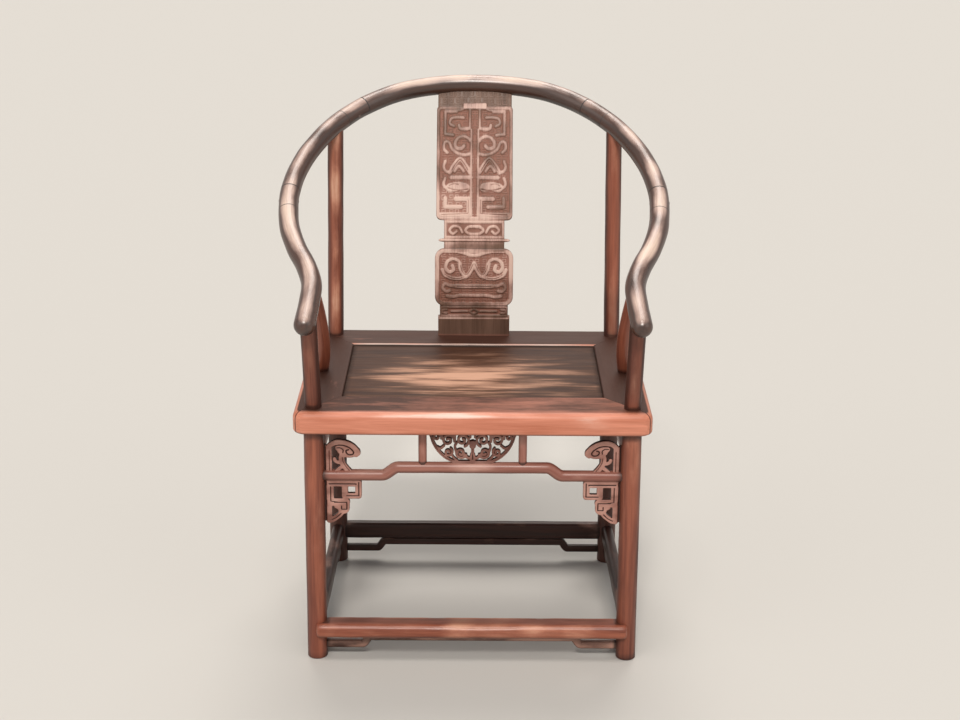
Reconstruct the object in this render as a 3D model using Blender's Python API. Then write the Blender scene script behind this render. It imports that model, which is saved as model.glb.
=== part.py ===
import math

import bmesh
import bpy
from mathutils import Vector

# A round-backed armchair of lacquered hardwood, held together by mortises and tenons.
# Sizes are in metres. +Z is up and the sitter faces -Y.
# Left and right are as seen from the front: left is -X.
# Before the last step the front of the seat lies on Y = 0.

# Joinery shared by all pieces
FIT_GAP = 0.0003
SCRIBE_GAP = 0.0005
OVERRUN = 0.003
BITE = 0.0006
MORTISE_WALL = 0.004

# Seat frame
SEAT_WIDTH = 0.600
SEAT_DEPTH = 0.460
SEAT_HEIGHT = 0.465
FRAME_THICKNESS = 0.040
FRONT_RAIL_WIDTH = 0.085
REAR_RAIL_WIDTH = 0.095
SIDE_RAIL_WIDTH = 0.077
SEAT_CORNER_RADIUS = 0.018
UPPER_EDGE_RADIUS = 0.012
LOWER_EDGE_RADIUS = 0.008
MITRE_TENON_THICKNESS = 0.010
MITRE_TENON_LENGTH = 0.018

# Seat panel and the battens under it
PANEL_SINK = 0.003
PANEL_THICKNESS = 0.012
PANEL_MARGIN = 0.0006
TONGUE_DEPTH = 0.006
TONGUE_THICKNESS = 0.005
TONGUE_DROP = 0.004
BATTEN_OFFSET = 0.095
BATTEN_WIDTH = 0.026
BATTEN_HEIGHT = 0.020
DOVETAIL_DEPTH = 0.004
DOVETAIL_FLARE = 0.002
BATTEN_TENON_LENGTH = 0.012
BATTEN_TENON_WIDTH = 0.016
BATTEN_TENON_HEIGHT = 0.010

# Legs, each in one piece with the post above the seat
LEG_RADIUS = 0.0172
FRONT_POST_RADIUS = 0.0140
REAR_POST_RADIUS = 0.0144
FRONT_LEG_INSET_X = 0.033
REAR_LEG_INSET_X = 0.0405
FRONT_LEG_INSET_Y = 0.033
REAR_LEG_INSET_Y = 0.033
FOOT_SPLAY = 0.003
FOOT_CHAMFER = 0.0015
POST_TENON_RADIUS = 0.0078
POST_TENON_ROOT = 0.012
# How far past the rail's middle a tenon reaches, as a share of the rail's radius
POST_TENON_SHARE = 0.30
SPLAT_TENON_SHARE = 0.20

# Crest rail, a horseshoe in a plane that slopes down to the front
CREST_RADIUS = 0.0172
CREST_OVERHANG = 0.021
CREST_DROP = 0.2895
CREST_ABOVE_SEAT = 0.4505
CREST_BEHIND_SEAT = 0.097
GRIP_PAST_SEAT = 0.023
GRIP_END_RADIUS = 0.0176
GRIP_FLARE_LENGTH = 0.050
LAP_LENGTH = 0.054
SCARF_PEG_WIDTH = 0.006
SCARF_PEG_TAPER = 0.001
PEG_REACH_SHARE = 0.94

# Half of the horseshoe seen at right angles to the floor, from the middle of the back
# to the grip: share of the half width, share of the depth from back to front
CREST_PLAN_SHARES = (
    (0.000, 0.000),
    (0.206, 0.007),
    (0.432, 0.039),
    (0.635, 0.107),
    (0.793, 0.195),
    (0.903, 0.294),
    (0.969, 0.389),
    (1.000, 0.484),
    (0.998, 0.562),
    (0.979, 0.637),
    (0.930, 0.716),
    (0.871, 0.784),
    (0.833, 0.852),
    (0.836, 0.922),
    (0.848, 1.000),
)
# Shares of the length of half the rail, from the middle of the back
CENTRE_JOINT_SHARE = 0.295
GRIP_JOINT_SHARE = 0.625
REAR_POST_SHARE = 0.352
SIDE_POST_SHARE = 0.765
FRONT_POST_SHARE = 0.962

# Side posts under the arms
SIDE_POST_INSET = 0.032
SIDE_POST_PLACE_SHARE = 0.478
SIDE_POST_RADIUS = 0.0120
SIDE_POST_TOP_RADIUS = 0.0088
SIDE_POST_FOOT_TENON_RADIUS = 0.0070
SIDE_POST_HEAD_TENON_RADIUS = 0.0050
SEAT_TENON_LENGTH = 0.016
# Share of the height, of the lean to the side and of the lean to the front
SIDE_POST_SHARES = (
    (0.00, 0.00, 0.00),
    (0.14, -0.15, 0.20),
    (0.30, -0.16, 0.33),
    (0.46, -0.02, 0.43),
    (0.63, 0.20, 0.56),
    (0.79, 0.47, 0.72),
    (0.93, 0.82, 0.90),
    (1.00, 1.00, 1.00),
)

# Back splat, a board bent in an S
SPLAT_THICKNESS = 0.012
SPLAT_INSET = 0.033
SPLAT_BASE_WIDTH = 0.1335
SPLAT_LOWER_NECK_WIDTH = 0.1270
SPLAT_LOWER_PANEL_WIDTH = 0.1450
SPLAT_NECK_WIDTH = 0.1115
SPLAT_UPPER_PANEL_WIDTH = 0.1410
SPLAT_TOP_WIDTH = 0.1370
SPLAT_LEDGE_WIDTH = 0.1320
SPLAT_LEDGE_HEIGHT = 0.005
SPLAT_LEDGE_PROUD = 0.0025
SPLAT_STEP_RISE = 0.0006
LOWER_PANEL_CORNER = 0.018
UPPER_PANEL_CORNER = 0.009
SPLAT_TENON_WIDTH = 0.100
SPLAT_TENON_THICKNESS = 0.007
SPLAT_TENON_ROOT = 0.012
# Shares of the height from the seat to the middle of the crest rail
BASE_TOP_SHARE = 0.084
LOWER_NECK_TOP_SHARE = 0.133
LOWER_PANEL_TOP_SHARE = 0.373
LEDGE_SHARE = 0.405
NECK_TOP_SHARE = 0.484
UPPER_PANEL_TOP_SHARE = 0.911
# Share of the height and of the lean to the back
SPLAT_CURVE_SHARES = (
    (0.000, 0.000),
    (0.110, -0.043),
    (0.190, -0.068),
    (0.300, -0.047),
    (0.410, 0.030),
    (0.520, 0.155),
    (0.630, 0.320),
    (0.745, 0.510),
    (0.856, 0.718),
    (0.950, 0.900),
    (1.000, 1.000),
)

# Humpbacked stretchers under the seat, and the struts between them and the seat
HUMP_RADIUS = 0.0098
HUMP_DROP = 0.083
HUMP_RISE = 0.0145
HUMP_RAMP = 0.027
HUMP_RAISED_SHARE = 0.47
HUMP_TENON_THICKNESS = 0.0088
TENON_SPACING = 0.0012
STRUT_RADIUS = 0.0070
STRUT_OFFSET = 0.0845
SIDE_STRUT_OFFSET = 0.055
STRUT_TENON_LENGTH = 0.006
STRUT_SEAT_SHARE = 0.40

# Openwork in the front frame
BRACKET_THICKNESS = 0.0085
BRACKET_LENGTH = 0.080
UPPER_BRACKET_RISE_SHARE = 0.783
LOWER_BRACKET_HEIGHT = 0.0875
CARVING_THICKNESS = 0.0090
CARVING_HALF_WIDTH = 0.0715
CARVING_TENON_LENGTH = 0.003
# Outlines: share of the length from the leg's middle, share of the height
# from the middle of the stretcher
UPPER_BRACKET_SHARES = (
    (0.175, 0.09),
    (0.175, 0.84),
    (0.290, 0.89),
    (0.382, 0.94),
    (0.480, 0.99),
    (0.574, 1.00),
    (0.690, 0.96),
    (0.790, 0.88),
    (0.890, 0.75),
    (1.000, 0.645),
    (0.980, 0.58),
    (0.880, 0.55),
    (0.790, 0.47),
    (0.770, 0.38),
    (0.690, 0.29),
    (0.680, 0.22),
    (0.750, 0.15),
    (0.800, 0.09),
)
UPPER_BRACKET_HOLE_SHARES = (
    ((0.385, 0.73), (0.385, 0.54), (0.500, 0.52), (0.560, 0.62), (0.500, 0.74)),
    ((0.385, 0.40), (0.385, 0.20), (0.520, 0.20), (0.580, 0.28), (0.520, 0.38)),
)
LOWER_BRACKET_SHARES = (
    (0.175, 0.07),
    (1.000, 0.07),
    (1.000, 0.40),
    (0.965, 0.435),
    (0.735, 0.46),
    (0.735, 0.76),
    (0.690, 0.80),
    (0.530, 0.82),
    (0.530, 0.93),
    (0.460, 1.00),
    (0.175, 1.00),
)
LOWER_BRACKET_HOLE_SHARES = (
    ((0.675, 0.235), (0.860, 0.235), (0.860, 0.345), (0.675, 0.345)),
    ((0.370, 0.215), (0.510, 0.215), (0.510, 0.470), (0.370, 0.470)),
    ((0.300, 0.675), (0.450, 0.675), (0.450, 0.800), (0.300, 0.800)),
)
# Centre carving: share of the half width, share of the height between
# the top of the stretcher and the seat frame
CARVING_SHARES = (
    (1.00, 1.00),
    (0.93, 0.74),
    (0.87, 0.46),
    (0.63, 0.11),
    (0.43, 0.00),
)
CARVING_HOLE_SHARES = (
    (0.17, 0.60, 0.075, 0.13),
    (0.17, 0.24, 0.070, 0.10),
    (0.42, 0.62, 0.090, 0.12),
    (0.42, 0.28, 0.070, 0.10),
    (0.68, 0.62, 0.080, 0.12),
)
CARVING_HOLE_SIDES = 6

# Lower stretchers: a footrest in front and a bar on each other side
FOOTREST_TOP = 0.070
FOOTREST_HEIGHT = 0.0255
FOOTREST_LIP = 0.011
FOOTREST_EDGE_ROUND = 0.007
FOOTREST_BACK_SHARE = 0.40
LOWER_BAR_TOP = 0.080
LOWER_BAR_HEIGHT = 0.034
LOWER_BAR_THICKNESS = 0.022
LOWER_TENON_THICKNESS = 0.009
LOWER_TENON_HEIGHT = 0.014

# Thin humpbacked aprons tucked under the lower stretchers
APRON_HEIGHT = 0.0140
APRON_THICKNESS = 0.011
APRON_RISE = 0.0140
APRON_RAMP = 0.014
APRON_RAISED_SHARE = 0.655
APRON_TENON_THICKNESS = 0.006
APRON_TENON_HEIGHT = 0.007

# Facets, and how square the section of a bar is: 2 is an oval, more is boxier
POLE_SIDES = 16
THIN_SIDES = 12
CREST_RINGS_CENTRE = 30
CREST_RINGS_SHOULDER = 15
CREST_RINGS_GRIP = 20
CREST_RINGS_SCRIBE = 96
SPAN_SAMPLES = 10
CORNER_STEPS = 4
RAMP_STEPS = 5
SPLAT_ROWS = 34
POST_ROWS = 14
APRON_SIDES = 8
BAR_SQUARENESS = 3.0
APRON_SQUARENESS = 4.0
SMOOTH_LIMIT_DEGREES = 35
WALL_TILT_LIMIT = 0.5
SAME_WALL_LIMIT = 0.01
CORNER_STRETCH_LIMIT = 0.4

# Levels and lines worked out from the sizes above
SEAT_UNDERSIDE = SEAT_HEIGHT - FRAME_THICKNESS
OPENING_HALF_WIDTH = SEAT_WIDTH / 2 - SIDE_RAIL_WIDTH
OPENING_BACK = SEAT_DEPTH - REAR_RAIL_WIDTH
PANEL_TOP = SEAT_HEIGHT - PANEL_SINK
PANEL_BOTTOM = PANEL_TOP - PANEL_THICKNESS
TONGUE_TOP = PANEL_TOP - TONGUE_DROP
TONGUE_BOTTOM = TONGUE_TOP - TONGUE_THICKNESS
CREST_BACK_Y = SEAT_DEPTH + CREST_BEHIND_SEAT
CREST_DEPTH = CREST_BACK_Y + GRIP_PAST_SEAT
CREST_HALF_WIDTH = SEAT_WIDTH / 2 + CREST_OVERHANG
CREST_HEIGHT = SEAT_HEIGHT + CREST_ABOVE_SEAT
SIDE_POST_X = SEAT_WIDTH / 2 - SIDE_POST_INSET
SIDE_POST_Y = SEAT_DEPTH * SIDE_POST_PLACE_SHARE
SPLAT_BASE_Y = SEAT_DEPTH - SPLAT_INSET
HUMP_HEIGHT = SEAT_UNDERSIDE - HUMP_DROP
UPPER_BRACKET_HEIGHT = HUMP_DROP * UPPER_BRACKET_RISE_SHARE
LOWER_BAR_BOTTOM = LOWER_BAR_TOP - LOWER_BAR_HEIGHT
FOOTREST_BOTTOM = FOOTREST_TOP - FOOTREST_HEIGHT

ACROSS = Vector((1, 0, 0))
BACKWARD = Vector((0, 1, 0))
UP = Vector((0, 0, 1))
SIDES = (("left", -1), ("right", 1))


def clear_scene():
    for item in list(bpy.data.objects):
        bpy.data.objects.remove(item, do_unlink=True)


def make_material(name, color, roughness):
    material = bpy.data.materials.new(name)
    material.use_nodes = True
    shader = material.node_tree.nodes["Principled BSDF"]
    shader.inputs["Base Color"].default_value = (*color, 1)
    shader.inputs["Roughness"].default_value = roughness
    shader.inputs["Metallic"].default_value = 0
    return material


# The chair's own empty carries every piece
def make_root():
    root = bpy.data.objects.new("chair", None)
    bpy.context.scene.collection.objects.link(root)
    return root


def add_object(name, bm, origin, material=None):
    bmesh.ops.recalc_face_normals(bm, faces=bm.faces)
    bmesh.ops.translate(bm, verts=bm.verts, vec=-Vector(origin))
    mesh = bpy.data.meshes.new(name)
    bm.to_mesh(mesh)
    bm.free()
    mesh.shade_smooth()
    mesh.set_sharp_from_angle(angle=math.radians(SMOOTH_LIMIT_DEGREES))
    item = bpy.data.objects.new(name, mesh)
    item.location = origin
    item.parent = CHAIR
    bpy.context.scene.collection.objects.link(item)
    if material:
        mesh.materials.append(material)
    else:
        item.hide_render = True
        item.display_type = "WIRE"
    return item


def combine(target, tool, operation):
    modifier = target.modifiers.new(operation.lower() + "_" + tool.name, "BOOLEAN")
    modifier.operation = operation
    modifier.solver = "EXACT"
    modifier.object = tool


def cut(target, *tools):
    for tool in tools:
        combine(target, tool, "DIFFERENCE")


def join(target, *tools):
    for tool in tools:
        combine(target, tool, "UNION")


# Rings and lofts
def oval_ring(centre, side, up, half_side, half_up, count, squareness=2.0):
    ring = []
    for index in range(count):
        angle = 2 * math.pi * index / count
        along = math.cos(angle)
        above = math.sin(angle)
        along = math.copysign(abs(along) ** (2 / squareness), along)
        above = math.copysign(abs(above) ** (2 / squareness), above)
        ring.append(centre + side * half_side * along + up * half_up * above)
    return ring


def box_ring(centre, side, up, half_side, half_up):
    corners = ((-1, -1), (1, -1), (1, 1), (-1, 1))
    return [centre + side * half_side * a + up * half_up * b for a, b in corners]


def loft(bm, rings):
    loops = [[bm.verts.new(point) for point in ring] for ring in rings]
    for lower, upper in zip(loops, loops[1:]):
        count = len(lower)
        for index in range(count):
            follow = (index + 1) % count
            bm.faces.new((lower[index], lower[follow], upper[follow], upper[index]))
    bm.faces.new(loops[0])
    bm.faces.new(loops[-1])


def lofted(rings):
    bm = bmesh.new()
    loft(bm, rings)
    return bm


# A plate cut from a flat outline with holes, between two faces
def fretted(outline, holes, plane_point, half_thickness, normal):
    bm = bmesh.new()
    edges = []
    for loop in (outline, *holes):
        verts = [bm.verts.new(plane_point(*point) - normal * half_thickness) for point in loop]
        for first, second in zip(verts, verts[1:] + verts[:1]):
            edges.append(bm.edges.new((first, second)))
    bmesh.ops.triangle_fill(bm, use_beauty=True, edges=edges)
    grown = bmesh.ops.extrude_face_region(bm, geom=list(bm.faces), use_keep_orig=True)
    verts = [item for item in grown["geom"] if isinstance(item, bmesh.types.BMVert)]
    bmesh.ops.translate(bm, verts=verts, vec=normal * 2 * half_thickness)
    return bm


# A smooth curve through points, at a place counted in spans
def spline_at(points, place):
    last = len(points) - 1
    span = min(int(place), last - 1)
    share = place - span
    before = points[span - 1] if span > 0 else 2 * points[0] - points[1]
    start = points[span]
    end = points[span + 1]
    after = points[span + 2] if span + 2 <= last else 2 * points[last] - points[last - 1]
    return 0.5 * (
        2 * start
        + (end - before) * share
        + (2 * before - 5 * start + 4 * end - after) * share ** 2
        + (3 * start - before - 3 * end + after) * share ** 3
    )


# The first coordinate of the points grows, and the curve is read at one value of it
def read_curve(points, value):
    low = 0.0
    high = float(len(points) - 1)
    for _ in range(40):
        middle = (low + high) / 2
        if spline_at(points, middle)[0] < value:
            low = middle
        else:
            high = middle
    return spline_at(points, (low + high) / 2)


# Crest rail line
def crest_plan_point(share_x, share_y):
    return Vector((
        share_x * CREST_HALF_WIDTH,
        CREST_BACK_Y - share_y * CREST_DEPTH,
        CREST_HEIGHT - share_y * CREST_DROP,
    ))


def measure_crest():
    first = CREST_PLAN_SHARES[1]
    mirrored = crest_plan_point(-first[0], first[1])
    points = [mirrored] + [crest_plan_point(*pair) for pair in CREST_PLAN_SHARES]
    spans = len(points) - 1
    samples = []
    for step in range(SPAN_SAMPLES * (spans - 1) + 1):
        samples.append(spline_at(points, 1 + step / SPAN_SAMPLES))
    lengths = [0.0]
    for first_point, second_point in zip(samples, samples[1:]):
        lengths.append(lengths[-1] + (second_point - first_point).length)
    return samples, lengths


def crest_at(share):
    distance = abs(share) * CREST_LENGTHS[-1]
    index = 0
    while index < len(CREST_LENGTHS) - 2 and CREST_LENGTHS[index + 1] < distance:
        index += 1
    span = CREST_LENGTHS[index + 1] - CREST_LENGTHS[index]
    part = (distance - CREST_LENGTHS[index]) / span
    point = CREST_SAMPLES[index].lerp(CREST_SAMPLES[index + 1], part)
    if share < 0:
        point.x = -point.x
    return point


def crest_frame(share):
    step = 1 / len(CREST_SAMPLES)
    ahead = crest_at(min(share + step, 1.0))
    behind = crest_at(max(share - step, -1.0))
    along = (ahead - behind).normalized()
    across = along.cross(CREST_NORMAL).normalized()
    return crest_at(share), along, across


def crest_radius_at(share):
    from_end = (1 - abs(share)) * CREST_LENGTHS[-1]
    if from_end > GRIP_FLARE_LENGTH:
        return CREST_RADIUS
    part = 1 - from_end / GRIP_FLARE_LENGTH
    return CREST_RADIUS + (GRIP_END_RADIUS - CREST_RADIUS) * part * part * (3 - 2 * part)


def crest_rings(start, end, count, grow=0.0):
    rings = []
    for index in range(count + 1):
        share = start + (end - start) * index / count
        centre, along, across = crest_frame(share)
        radius = crest_radius_at(share) + grow
        rings.append(oval_ring(centre, across, CREST_NORMAL, radius, radius, POLE_SIDES))
    return rings


# The grip's end is rounded over by rings that shrink as they go forward
def grip_end_rings(side):
    centre, along, across = crest_frame(side)
    forward = along * side
    rings = []
    for angle in (25, 50, 70):
        radius = GRIP_END_RADIUS * math.cos(math.radians(angle))
        place = centre + forward * GRIP_END_RADIUS * math.sin(math.radians(angle))
        rings.append(oval_ring(place, across, CREST_NORMAL, radius, radius, POLE_SIDES))
    return rings


# A bent bar over one half of the rail's thickness, which cuts the lap of a scarf joint
def lap_cutter(name, start, end, above):
    half_width = CREST_RADIUS + OVERRUN
    reach = (CREST_RADIUS + OVERRUN + FIT_GAP / 2) / 2
    shift = reach - FIT_GAP / 2
    rings = []
    for index in range(CREST_RINGS_SHOULDER + 1):
        share = start + (end - start) * index / CREST_RINGS_SHOULDER
        centre, along, across = crest_frame(share)
        middle = centre + CREST_NORMAL * shift * above
        rings.append(box_ring(middle, across, CREST_NORMAL, half_width, reach))
    return add_object(name, lofted(rings), crest_at((start + end) / 2))


def peg_rings(share, grow, reach):
    centre, along, across = crest_frame(share)
    rings = []
    for end in (-1, 1):
        half = (SCARF_PEG_WIDTH - SCARF_PEG_TAPER * (end + 1) / 2) / 2 + grow
        rings.append(box_ring(centre + across * reach * end, along, CREST_NORMAL, half, half))
    return rings


def build_crest():
    length = CREST_LENGTHS[-1]
    half_lap = LAP_LENGTH / 2 / length
    gap = FIT_GAP / length
    run = OVERRUN / length
    dark = WOODS["crest"]
    sections = {}
    centre_end = CENTRE_JOINT_SHARE + half_lap - gap
    rings = crest_rings(-centre_end, centre_end, CREST_RINGS_CENTRE)
    sections["centre"] = add_object("crest_rail_centre", lofted(rings), crest_at(0.0), dark)
    for word, side in SIDES:
        start = CENTRE_JOINT_SHARE - half_lap + gap
        end = GRIP_JOINT_SHARE + half_lap - gap
        rings = crest_rings(side * start, side * end, CREST_RINGS_SHOULDER)
        middle = crest_at(side * (start + end) / 2)
        shoulder = add_object("crest_rail_shoulder_" + word, lofted(rings), middle, dark)
        start = GRIP_JOINT_SHARE - half_lap + gap
        rings = crest_rings(side * start, side * 1.0, CREST_RINGS_GRIP) + grip_end_rings(side)
        middle = crest_at(side * (start + 1) / 2)
        grip = add_object("arm_grip_" + word, lofted(rings), middle, dark)
        for joint, share, first, second in (
            ("centre", CENTRE_JOINT_SHARE, sections["centre"], shoulder),
            ("grip", GRIP_JOINT_SHARE, shoulder, grip),
        ):
            tag = joint + "_" + word
            low = side * (share - half_lap)
            high = side * (share + half_lap)
            over = lap_cutter("cut_lap_over_" + tag, low, high + side * run, 1)
            under = lap_cutter("cut_lap_under_" + tag, low - side * run, high, -1)
            cut(first, over)
            cut(second, under)
            notch_bm = lofted(peg_rings(side * share, FIT_GAP, CREST_RADIUS + OVERRUN))
            notch = add_object("cut_peg_" + tag, notch_bm, crest_at(side * share))
            cut(first, notch)
            cut(second, notch)
            peg_bm = lofted(peg_rings(side * share, 0.0, CREST_RADIUS * PEG_REACH_SHARE))
            add_object("scarf_peg_" + tag, peg_bm, crest_at(side * share), dark)
        sections["shoulder_" + word] = shoulder
        sections["grip_" + word] = grip
    scribe_rings = crest_rings(-1.0, 1.0, CREST_RINGS_SCRIBE, SCRIBE_GAP)
    scribe = add_object("cut_crest_scribe", lofted(scribe_rings), crest_at(0.0))
    return sections, scribe


# Legs
def describe_leg(word_y, side):
    front = word_y == "front"
    inset_x = FRONT_LEG_INSET_X if front else REAR_LEG_INSET_X
    seat_x = side * (SEAT_WIDTH / 2 - inset_x)
    seat_y = FRONT_LEG_INSET_Y if front else SEAT_DEPTH - REAR_LEG_INSET_Y
    return {
        "foot": Vector((seat_x + side * FOOT_SPLAY, seat_y, 0)),
        "seat": Vector((seat_x, seat_y, SEAT_HEIGHT)),
        "top": crest_at(side * (FRONT_POST_SHARE if front else REAR_POST_SHARE)),
        "radius": FRONT_POST_RADIUS if front else REAR_POST_RADIUS,
    }


def axis_at(leg, height):
    return leg["foot"].lerp(leg["seat"], height / SEAT_HEIGHT)


def level_ring(centre, radius, count):
    return oval_ring(centre, ACROSS, BACKWARD, radius, radius, count)


def leg_rings(leg):
    post = leg["radius"]
    shoulder = SEAT_UNDERSIDE - FIT_GAP
    return [
        level_ring(leg["foot"], LEG_RADIUS - FOOT_CHAMFER, POLE_SIDES),
        level_ring(axis_at(leg, FOOT_CHAMFER), LEG_RADIUS, POLE_SIDES),
        level_ring(axis_at(leg, shoulder), LEG_RADIUS, POLE_SIDES),
        level_ring(axis_at(leg, shoulder), post, POLE_SIDES),
        level_ring(leg["seat"], post, POLE_SIDES),
        level_ring(leg["top"], post, POLE_SIDES),
    ]


def tenon_rings(start, end, radius, grow=0.0):
    tip = end + (end - start).normalized() * grow
    return [level_ring(place, radius + grow, THIN_SIDES) for place in (start, tip)]


def crest_tenon(name, top, direction, radius, crest_piece, post):
    start = top - direction * (CREST_RADIUS + POST_TENON_ROOT)
    end = top + direction * CREST_RADIUS * POST_TENON_SHARE
    solid = add_object("cut_tenon_" + name, lofted(tenon_rings(start, end, radius)), start)
    socket_bm = lofted(tenon_rings(start, end, radius, FIT_GAP))
    socket = add_object("cut_socket_" + name, socket_bm, start)
    cut(post, CREST_SCRIBE)
    join(post, solid)
    cut(crest_piece, socket)


def build_leg(word_y, word_x, side):
    leg = LEGS[word_y, word_x]
    name = "leg_" + word_y + "_" + word_x
    piece = add_object(name, lofted(leg_rings(leg)), leg["foot"], WOODS["leg"])
    direction = (leg["top"] - leg["seat"]).normalized()
    crest_piece = CREST["grip_" + word_x] if word_y == "front" else CREST["shoulder_" + word_x]
    crest_tenon(name, leg["top"], direction, POST_TENON_RADIUS, crest_piece, piece)
    return piece


def leg_hole_cutter(word_y, word_x):
    leg = LEGS[word_y, word_x]
    radius = leg["radius"] + FIT_GAP
    low = axis_at(leg, SEAT_UNDERSIDE - OVERRUN)
    high = axis_at(leg, SEAT_HEIGHT + OVERRUN)
    rings = [level_ring(low, radius, POLE_SIDES), level_ring(high, radius, POLE_SIDES)]
    return add_object("cut_leg_hole_" + word_y + "_" + word_x, lofted(rings), low)


# Seat frame
def rounded_outline(inset):
    half_x = SEAT_WIDTH / 2 - inset
    half_y = SEAT_DEPTH / 2 - inset
    radius = SEAT_CORNER_RADIUS - inset * SEAT_CORNER_RADIUS / (SEAT_WIDTH / 2)
    points = []
    for corner, (sign_x, sign_y) in enumerate(((1, 1), (-1, 1), (-1, -1), (1, -1))):
        centre_x = sign_x * (half_x - radius)
        centre_y = sign_y * (half_y - radius)
        for step in range(CORNER_STEPS + 1):
            angle = math.pi / 2 * (corner + step / CORNER_STEPS)
            x = centre_x + radius * math.cos(angle)
            y = centre_y + radius * math.sin(angle)
            points.append((x, SEAT_DEPTH / 2 + y))
    return points


def edge_levels():
    levels = []
    for degrees in (0, 30, 60, 90):
        angle = math.radians(degrees)
        inset = LOWER_EDGE_RADIUS * (1 - math.sin(angle))
        levels.append((SEAT_UNDERSIDE + LOWER_EDGE_RADIUS * (1 - math.cos(angle)), inset))
    for degrees in (0, 25, 50, 70, 90):
        angle = math.radians(degrees)
        inset = UPPER_EDGE_RADIUS * (1 - math.cos(angle))
        levels.append((SEAT_HEIGHT - UPPER_EDGE_RADIUS * (1 - math.sin(angle)), inset))
    return levels


def opening_outline(grow):
    half = OPENING_HALF_WIDTH + grow
    front = FRONT_RAIL_WIDTH - grow
    back = OPENING_BACK + grow
    return ((half, back), (-half, back), (-half, front), (half, front))


def groove_levels():
    deep = TONGUE_DEPTH + PANEL_MARGIN
    low = TONGUE_BOTTOM - FIT_GAP
    high = TONGUE_TOP + FIT_GAP
    return (
        (SEAT_UNDERSIDE, 0.0),
        (low, 0.0),
        (low, deep),
        (high, deep),
        (high, 0.0),
        (SEAT_HEIGHT, 0.0),
    )


def loop_faces(bm, loops):
    for lower, upper in zip(loops, loops[1:]):
        count = len(lower)
        for index in range(count):
            follow = (index + 1) % count
            bm.faces.new((lower[index], lower[follow], upper[follow], upper[index]))


def loop_edges(bm, loop):
    edges = []
    for first, second in zip(loop, loop[1:] + loop[:1]):
        edges.append(bm.edges.get((first, second)) or bm.edges.new((first, second)))
    return edges


# The whole frame as one ring, which the mitres divide into four rails
def frame_blank():
    bm = bmesh.new()
    outer = []
    for height, inset in edge_levels():
        outer.append([bm.verts.new((x, y, height)) for x, y in rounded_outline(inset)])
    inner = []
    for height, grow in groove_levels():
        inner.append([bm.verts.new((x, y, height)) for x, y in opening_outline(grow)])
    loop_faces(bm, outer)
    loop_faces(bm, inner)
    for level in (0, -1):
        edges = loop_edges(bm, outer[level]) + loop_edges(bm, inner[level])
        bmesh.ops.triangle_fill(bm, use_beauty=True, edges=edges)
    return bm


# Plan corners of the wedge that one rail keeps between its two mitres
def mitre_wedge(word):
    half = SEAT_WIDTH / 2
    corners = {
        "front_left": (Vector((-half, 0)), Vector((-OPENING_HALF_WIDTH, FRONT_RAIL_WIDTH))),
        "front_right": (Vector((half, 0)), Vector((OPENING_HALF_WIDTH, FRONT_RAIL_WIDTH))),
        "rear_left": (Vector((-half, SEAT_DEPTH)), Vector((-OPENING_HALF_WIDTH, OPENING_BACK))),
        "rear_right": (Vector((half, SEAT_DEPTH)), Vector((OPENING_HALF_WIDTH, OPENING_BACK))),
    }
    ends = {
        "front": ("front_left", "front_right"),
        "rear": ("rear_left", "rear_right"),
        "left": ("front_left", "rear_left"),
        "right": ("front_right", "rear_right"),
    }[word]
    points = []
    for index, end in enumerate(ends):
        outside, inside = corners[end]
        run = (inside - outside).normalized() * OVERRUN
        pair = [outside - run, inside + run]
        if word in ("left", "right"):
            width = abs(inside.y - outside.y)
            shift = FIT_GAP * (inside - outside).length / width
            sign = -1 if word == "left" else 1
            pair = [point + Vector((sign * shift, 0)) for point in pair]
        points.extend(pair if index == 0 else reversed(pair))
    return points


def wedge_object(word):
    points = mitre_wedge(word)
    rings = []
    for height in (SEAT_UNDERSIDE - OVERRUN, SEAT_HEIGHT + OVERRUN):
        rings.append([Vector((point.x, point.y, height)) for point in points])
    return add_object("cut_wedge_" + word, lofted(rings), (0, SEAT_DEPTH / 2, SEAT_UNDERSIDE))


# The tenon between a front or rear rail and a side rail, inboard of the leg
def mitre_tenon(name, word_y, side, grow):
    width = FRONT_RAIL_WIDTH if word_y == "front" else REAR_RAIL_WIDTH
    inset = FRONT_LEG_INSET_Y if word_y == "front" else REAR_LEG_INSET_Y
    radius = FRONT_POST_RADIUS if word_y == "front" else REAR_POST_RADIUS
    outer_y = inset + radius + MORTISE_WALL
    inner_y = width - TONGUE_DEPTH - MORTISE_WALL
    middle_y = (outer_y + inner_y) / 2
    half_y = (inner_y - outer_y) / 2 + grow
    mitre_x = SEAT_WIDTH / 2 - SIDE_RAIL_WIDTH * inner_y / width
    tip = mitre_x + MITRE_TENON_LENGTH + grow
    root = mitre_x - MITRE_TENON_LENGTH
    centre_y = middle_y if word_y == "front" else SEAT_DEPTH - middle_y
    centre_z = SEAT_UNDERSIDE + (TONGUE_BOTTOM - SEAT_UNDERSIDE) / 2
    half_z = MITRE_TENON_THICKNESS / 2 + grow
    rings = []
    for x in (root, tip):
        centre = Vector((side * x, centre_y, centre_z))
        rings.append(box_ring(centre, BACKWARD, UP, half_y, half_z))
    return add_object(name, lofted(rings), (side * mitre_x, centre_y, centre_z))


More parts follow.
